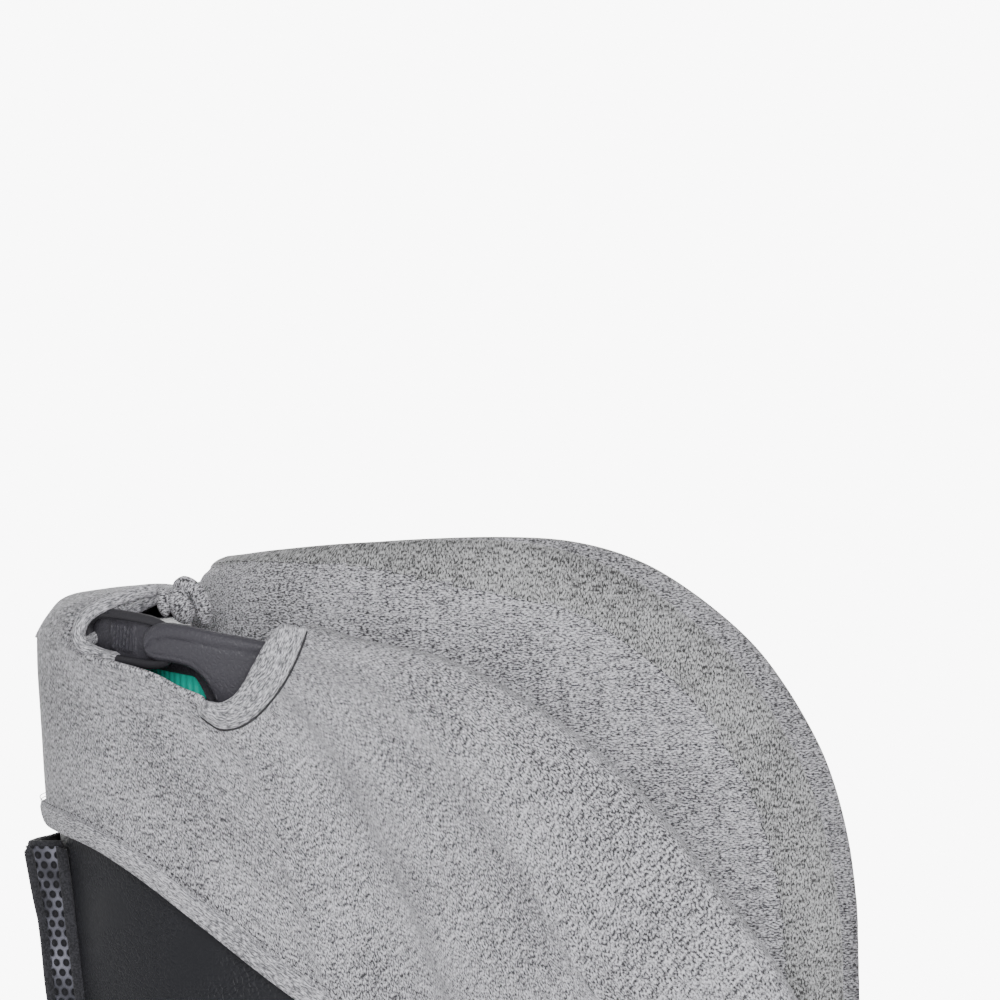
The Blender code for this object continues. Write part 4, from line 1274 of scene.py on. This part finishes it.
# The node's mesh as a blown-up cushion
def puffed(node, settings):
    bm = nodeMesh(node)
    mesh = bpy.data.meshes.new("cushion")
    bm.to_mesh(mesh)
    bm.free()
    cushion = bpy.data.objects.new("cushion", mesh)
    bpy.context.scene.collection.objects.link(cushion)
    remesh = cushion.modifiers.new("remesh", "REMESH")
    remesh.mode = "VOXEL"
    remesh.voxel_size = settings["voxel"]
    soften = cushion.modifiers.new("soften", "SMOOTH")
    soften.factor, soften.iterations = 0.5, settings.get("soften", 3)
    cushion.data = evaluatedCopy(cushion)
    cushion.modifiers.clear()
    before = np.array([v.co for v in cushion.data.vertices])
    cloth = cushion.modifiers.new("cloth", "CLOTH")
    given = cloth.settings
    given.quality, given.mass = 4, 0.2
    given.tension_stiffness = given.compression_stiffness = 12
    given.bending_stiffness = 0.4
    given.use_pressure, given.uniform_pressure_force = True, settings["pressure"]
    given.effector_weights.gravity = 0
    frames = 20
    cloth.point_cache.frame_start, cloth.point_cache.frame_end = 1, frames
    for step in range(1, frames + 1):
        bpy.context.scene.frame_set(step)
    blown = evaluatedCopy(cushion)
    cushion.modifiers.clear()
    after = np.array([v.co for v in blown.vertices])
    move = after - before
    length = np.linalg.norm(move, axis=1, keepdims=True)
    after = before + move * np.minimum(1, settings["cap"] / np.maximum(length, 1e-9))
    for vert, co in zip(cushion.data.vertices, after):
        vert.co = co
    bpy.context.scene.frame_set(1)
    finer = cushion.modifiers.new("finer", "SUBSURF")
    finer.levels = finer.render_levels = 1
    finished = evaluatedCopy(cushion)
    bpy.data.objects.remove(cushion, do_unlink=True)
    bm = bmesh.new()
    bm.from_mesh(finished)
    bm.normal_update()
    moves = []
    for vert in bm.verts:
        dent = 0.0
        for gap in settings["seams"](vert.co, vert.normal):
            dent += settings["depth"] * bell(gap, settings["seamWide"])
        moves.append(vert.normal * -min(dent, settings["depth"]))
    for vert, move in zip(bm.verts, moves):
        vert.co += move
    return bm


def makePads():
    for node, (settings, body, material, slot) in pads.items():
        piece = finishPiece(node + "_cushion", puffed(node, settings), material, body, slot, bendLimit=80,
                            replaces=(node,))
        for k, (line, normal) in enumerate(settings.get("stitches", ())):
            spots = resample(line, [normal] * len(line), 0.004)[0]
            tree = BVHTree.FromPolygons([v.co for v in piece.data.vertices],
                                        [tuple(p.vertices) for p in piece.data.polygons])
            laid = []
            for spot in spots:
                hit = tree.ray_cast(spot + Vector(normal) * 0.06, -Vector(normal))[0]
                if hit:
                    laid.append(hit)
            if len(laid) > 4:
                stitchRow(node + "_stitches_" + str(k + 1), laid, [normal] * len(laid), 0.0, threadDarkAndGapShadow, body,
                          "melange_fabric", pitch=0.005, length=0.0034)
    print("pads done")


def slideY(z, inFront=0.0):
    return 0.198 + 0.2084 * (z - 0.415) - inFront


upright = Vector((0, -1, 0.2084)).normalized()
widePad = {"voxel": 0.006, "pressure": 4, "cap": 0.006, "depth": 0.0035, "seamWide": 0.004}
narrowPad = {"voxel": 0.003, "pressure": 3, "cap": 0.0015, "depth": 0.0012, "seamWide": 0.0015, "soften": 2}
pads = {
    "backrest_pad": ({**widePad,
                      "seams": lambda co, n: [abs(abs(co.x) - 0.082)] if n.y < -0.5 else [],
                      "stitches": [([Vector((x, slideY(z, 0.03), z)) for z in np.linspace(0.235, 0.42, 30)], upright)
                                   for x in (-0.082, 0.082)]},
                     "shell", liningKnit, "melange_fabric"),
    "seat_pad": ({**widePad,
                  "seams": lambda co, n: [abs(abs(co.x) - 0.072)] if n.z > 0.5 else [],
                  "stitches": [([Vector((x, y, 0.22)) for y in np.linspace(-0.19, 0.09, 40)], Vector((0, 0, 1)))
                               for x in (-0.072, 0.072)]},
                 "shell", seatKnit, "melange_fabric"),
    "head_pillow": ({"voxel": 0.004, "pressure": 4, "cap": 0.005, "depth": 0.003, "seamWide": 0.003,
                     "seams": lambda co, n: [abs(co.z - 0.54)] if n.y < -0.4 else [],
                     "stitches": [([Vector((x, 0.16, 0.54)) for x in np.linspace(-0.075, 0.075, 40)],
                                   Vector((0, -1, 0)))]},
                    "headrest", padKnit, "pad_fabric"),
    "crotch_pad": ({**narrowPad,
                    "seams": lambda co, n: [abs(abs(co.x) - 0.023)] if n.z > 0.5 else []},
                   "shell", padKnit, "pad_fabric"),
}
harness = {"half": 0.055, "width": 0.038, "thick": -0.0018}


def shoulderPad(x):
    return ({**narrowPad, "seams": lambda co, n: [abs(abs(co.x - x) - 0.021)] if n.y < -0.5 else []},
            "shell", padKnit, "pad_fabric")


pads.update({"shoulder_pad_" + side: shoulderPad(harness["half"] * sign) for side, sign in sides})
makePads()


# A strap along (y, z) points at one x, its rear face on the line
def strapPiece(name, line, x, width, thick, body):
    line = smoothLine(line, 8)
    spots = [Vector((x, y, z)) for y, z in line]
    normals = []
    for i in range(len(spots)):
        run = spots[min(i + 1, len(spots) - 1)] - spots[max(i - 1, 0)]
        normals.append(Vector((0, run.z, -run.y)).normalized())
    spots, normals = resample(spots, normals, 0.003)
    profile = [(a - width / 2, h) for a, h in
               [(0.0, 0.0), (0.0006, thick), (0.0018, thick * 1.15), (width - 0.0018, thick * 1.15),
                (width - 0.0006, thick), (width, 0.0), (width - 0.001, -0.0001), (0.001, -0.0001)]]
    bm = bandMesh(spots, normals, profile)
    capHoles(bm)
    return finishPiece(name, bm, webbing, body, "webbing", bendLimit=50)


def makeStraps():
    line = [(slideY(0.4405, 0.030), 0.4405), (slideY(0.439, 0.050), 0.439), (slideY(0.425, 0.0535), 0.425),
            (slideY(0.36, 0.0535), 0.36), (slideY(0.30, 0.0535), 0.30), (0.075, 0.252), (0.022, 0.236)]
    for side, sign in sides:
        strap = strapPiece("shoulder_webbing_" + side, line, harness["half"] * sign, harness["width"],
                           harness["thick"], None)
        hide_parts("shoulder_strap_" + side)
        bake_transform(strap)
    print("straps done")


makeStraps()


# Small moulded details, as groups of rounded blocks
def blockGroup(name, blocks, material, body, slot, bevel=0.0006):
    bm = bmesh.new()
    for size, middle, tilt in blocks:
        made = bmesh.ops.create_cube(bm, size=1)["verts"]
        bmesh.ops.scale(bm, vec=size, verts=made)
        edges = list({e for v in made for e in v.link_edges})
        result = bmesh.ops.bevel(bm, geom=edges, offset=min(bevel, min(size) * 0.4), segments=2, profile=0.5,
                                 affect="EDGES")
        whole = list({v for f in result["faces"] for v in f.verts} | {v for v in made if v.is_valid})
        bmesh.ops.rotate(bm, verts=whole, cent=(0, 0, 0), matrix=Matrix.Rotation(tilt, 3, "X"))
        bmesh.ops.translate(bm, verts=whole, vec=middle)
    return finishPiece(name, bm, material, body, slot, bendLimit=40, mend=False)


def makeDetails():
    blockGroup("buckle_trim", [((0.036, 0.0022, 0.003), (0, -0.0125 - 0.025 * k, 0.2425 - 0.003 * k), 0.12)
                               for k in (0, 1)] +
               [((0.0022, 0.027, 0.003), (x, -0.0245, 0.2412), 0.12) for x in (-0.0172, 0.0172)] +
               [((0.040, 0.0016, 0.0016), (0, -0.0405 - 0.0026 * k, 0.2392 - 0.0003 * k), 0.12) for k in (0, 1)],
               rimPlastic, "shell", "shell_plastic")
    blockGroup("recline_handle_ribs", [((0.070, 0.0022, 0.0022), (0, -0.262 + 0.005 * k, 0.0932), 0.0)
                                       for k in range(4)], rimPlastic, "recline_grip", "handle_plastic")
    for side, sign in sides:
        arm = 0.14
        blockGroup("connector_ribs_" + side,
                   [((0.0016, 0.022, 0.0014), (sign * arm + x, 0.2985, 0.0455), 0.0) for x in (-0.0105, 0.0105)] +
                   [((0.0012, 0.030, 0.0016), (sign * (arm + 0.0155), 0.288, z), 0.0)
                    for z in (0.026, 0.032, 0.038)],
                   rimPlastic, "isofix_frame", "shell_plastic")
        blockGroup("base_side_ribs_" + side,
                   [((0.0024, 0.36, 0.0030), (sign * 0.2055, 0.0, 0.022 + 0.012 * k), 0.0) for k in range(4)] +
                   [((0.0024, 0.0030, 0.050), (sign * 0.2055, y, 0.042), 0.0) for y in (-0.19, 0.19)],
                   basePlastic, "base", "shell_plastic")
    blockGroup("base_front_ribs", [((0.12, 0.0024, 0.0030), (x, -0.2605, 0.024 + 0.010 * k), 0.0)
                                   for x in (-0.125, 0.125) for k in range(5)] +
               [((0.124, 0.0030, 0.0024), (0, -0.2605, z), 0.0) for z in (0.0715, 0.0985)] +
               [((0.0024, 0.0030, 0.0294), (x, -0.2605, 0.085), 0.0) for x in (-0.0608, 0.0608)],
               basePlastic, "base", "shell_plastic")
    blockGroup("base_rear_ribs", [((0.18, 0.0024, 0.0030), (0, 0.2605, 0.030 + 0.012 * k), 0.0) for k in range(6)],
               basePlastic, "base", "shell_plastic")
    blockGroup("adjuster_trim", [((0.030, 0.0018, 0.0020), (0, -0.2275 - 0.021 * k, 0.2375), 0.0) for k in (0, 1)] +
               [((0.0018, 0.020, 0.0020), (x, -0.238, 0.2375), 0.0) for x in (-0.0145, 0.0145)],
               rimPlastic, "shell", "shell_plastic")
    print("details done")


carried = {
    "basePlastic": ("base_housing", "base_plate", "backrest_panel", "rod_guide_left", "rod_guide_right",
                    "headrest_carriage", "isofix_connector_left", "isofix_connector_right"),
    "rimPlastic": ("handle_collar", "buckle_body", "harness_adjuster", "grip_pad"),
    "handlePlastic": ("recline_handle", "adjuster_button", "handle_foot_left", "handle_foot_right"),
    "redPlastic": ("buckle_button", "isofix_button_left", "isofix_button_right"),
    "rubberMat": ("rubber_foot_front", "rubber_foot_middle", "rubber_foot_rear"),
    "flatWebbing": ("lap_strap_left", "lap_strap_right", "adjuster_strap"),
}


def dressNodes():
    stock = {"basePlastic": basePlastic, "rimPlastic": rimPlastic, "handlePlastic": handlePlastic,
             "redPlastic": redPlastic, "rubberMat": rubberMat, "flatWebbing": flatWebbing}
    given = {node: stock[name] for name, nodes in carried.items() for node in nodes}
    for name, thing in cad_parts.items():
        if thing.hide_render:
            continue
        thing.data.materials.clear()
        thing.data.materials.append(given.get(name, platedSteel))


flatWebbing = fabricMaterial("flatWebbing", (0.045, 0.045, 0.05), (0.012, 0.012, 0.014), (0.0004, 0.003, 0.003),
                             byUv=False)
makeDetails()
dressNodes()


# Studio
def makeStudio():
    world = bpy.data.worlds.new("studio")
    bpy.context.scene.world = world
    world.use_nodes = True
    # a bright wall on the far side, and softer light from everywhere else
    tree = world.node_tree
    where = tree.nodes.new("ShaderNodeTexCoord")
    parts = tree.nodes.new("ShaderNodeSeparateXYZ")
    tree.links.new(where.outputs["Generated"], parts.inputs[0])
    glow = tree.nodes.new("ShaderNodeMapRange")
    glow.interpolation_type = "SMOOTHSTEP"
    tree.links.new(parts.outputs[0], glow.inputs["Value"])
    glow.inputs["From Min"].default_value, glow.inputs["From Max"].default_value = studio["wall"]
    glow.inputs["To Min"].default_value, glow.inputs["To Max"].default_value = studio["world"]
    background = tree.nodes["Background"]
    background.inputs["Color"].default_value = (1, 1, 1, 1)
    tree.links.new(glow.outputs["Result"], background.inputs["Strength"])
    for name, place, aim, size, power in studio["lights"]:
        lamp = bpy.data.lights.new(name, "AREA")
        lamp.shape = "RECTANGLE"
        lamp.size, lamp.size_y = size
        lamp.energy = power
        light = bpy.data.objects.new(name, lamp)
        light.location = place
        light.rotation_euler = (Vector(aim) - Vector(place)).to_track_quat("-Z", "Y").to_euler()
        bpy.context.scene.collection.objects.link(light)
    bm = bmesh.new()
    bmesh.ops.create_grid(bm, x_segments=1, y_segments=1, size=6)
    mesh = bpy.data.meshes.new("studio_floor")
    bm.to_mesh(mesh)
    bm.free()
    material, tree, shader, where = startMaterial("paleFloor", 0.9)
    shader.inputs["Base Color"].default_value = (0.86, 0.86, 0.86, 1)
    mesh.materials.append(material)
    floor = bpy.data.objects.new("studio_floor", mesh)
    bpy.context.scene.collection.objects.link(floor)


studio = {
    "world": (0.46, 9.0), "wall": (0.72, 0.995),
    "lights": [("key", (-3.3, -0.3, 1.25), (0, 0, 0.55), (1.6, 1.6), 84),
               ("front", (0.6, -3.0, 1.6), (0, 0, 0.4), (1.8, 1.8), 12),
               ("back", (1.4, 2.6, 1.8), (0, 0, 0.5), (1.6, 1.6), 9)],
}
makeStudio()
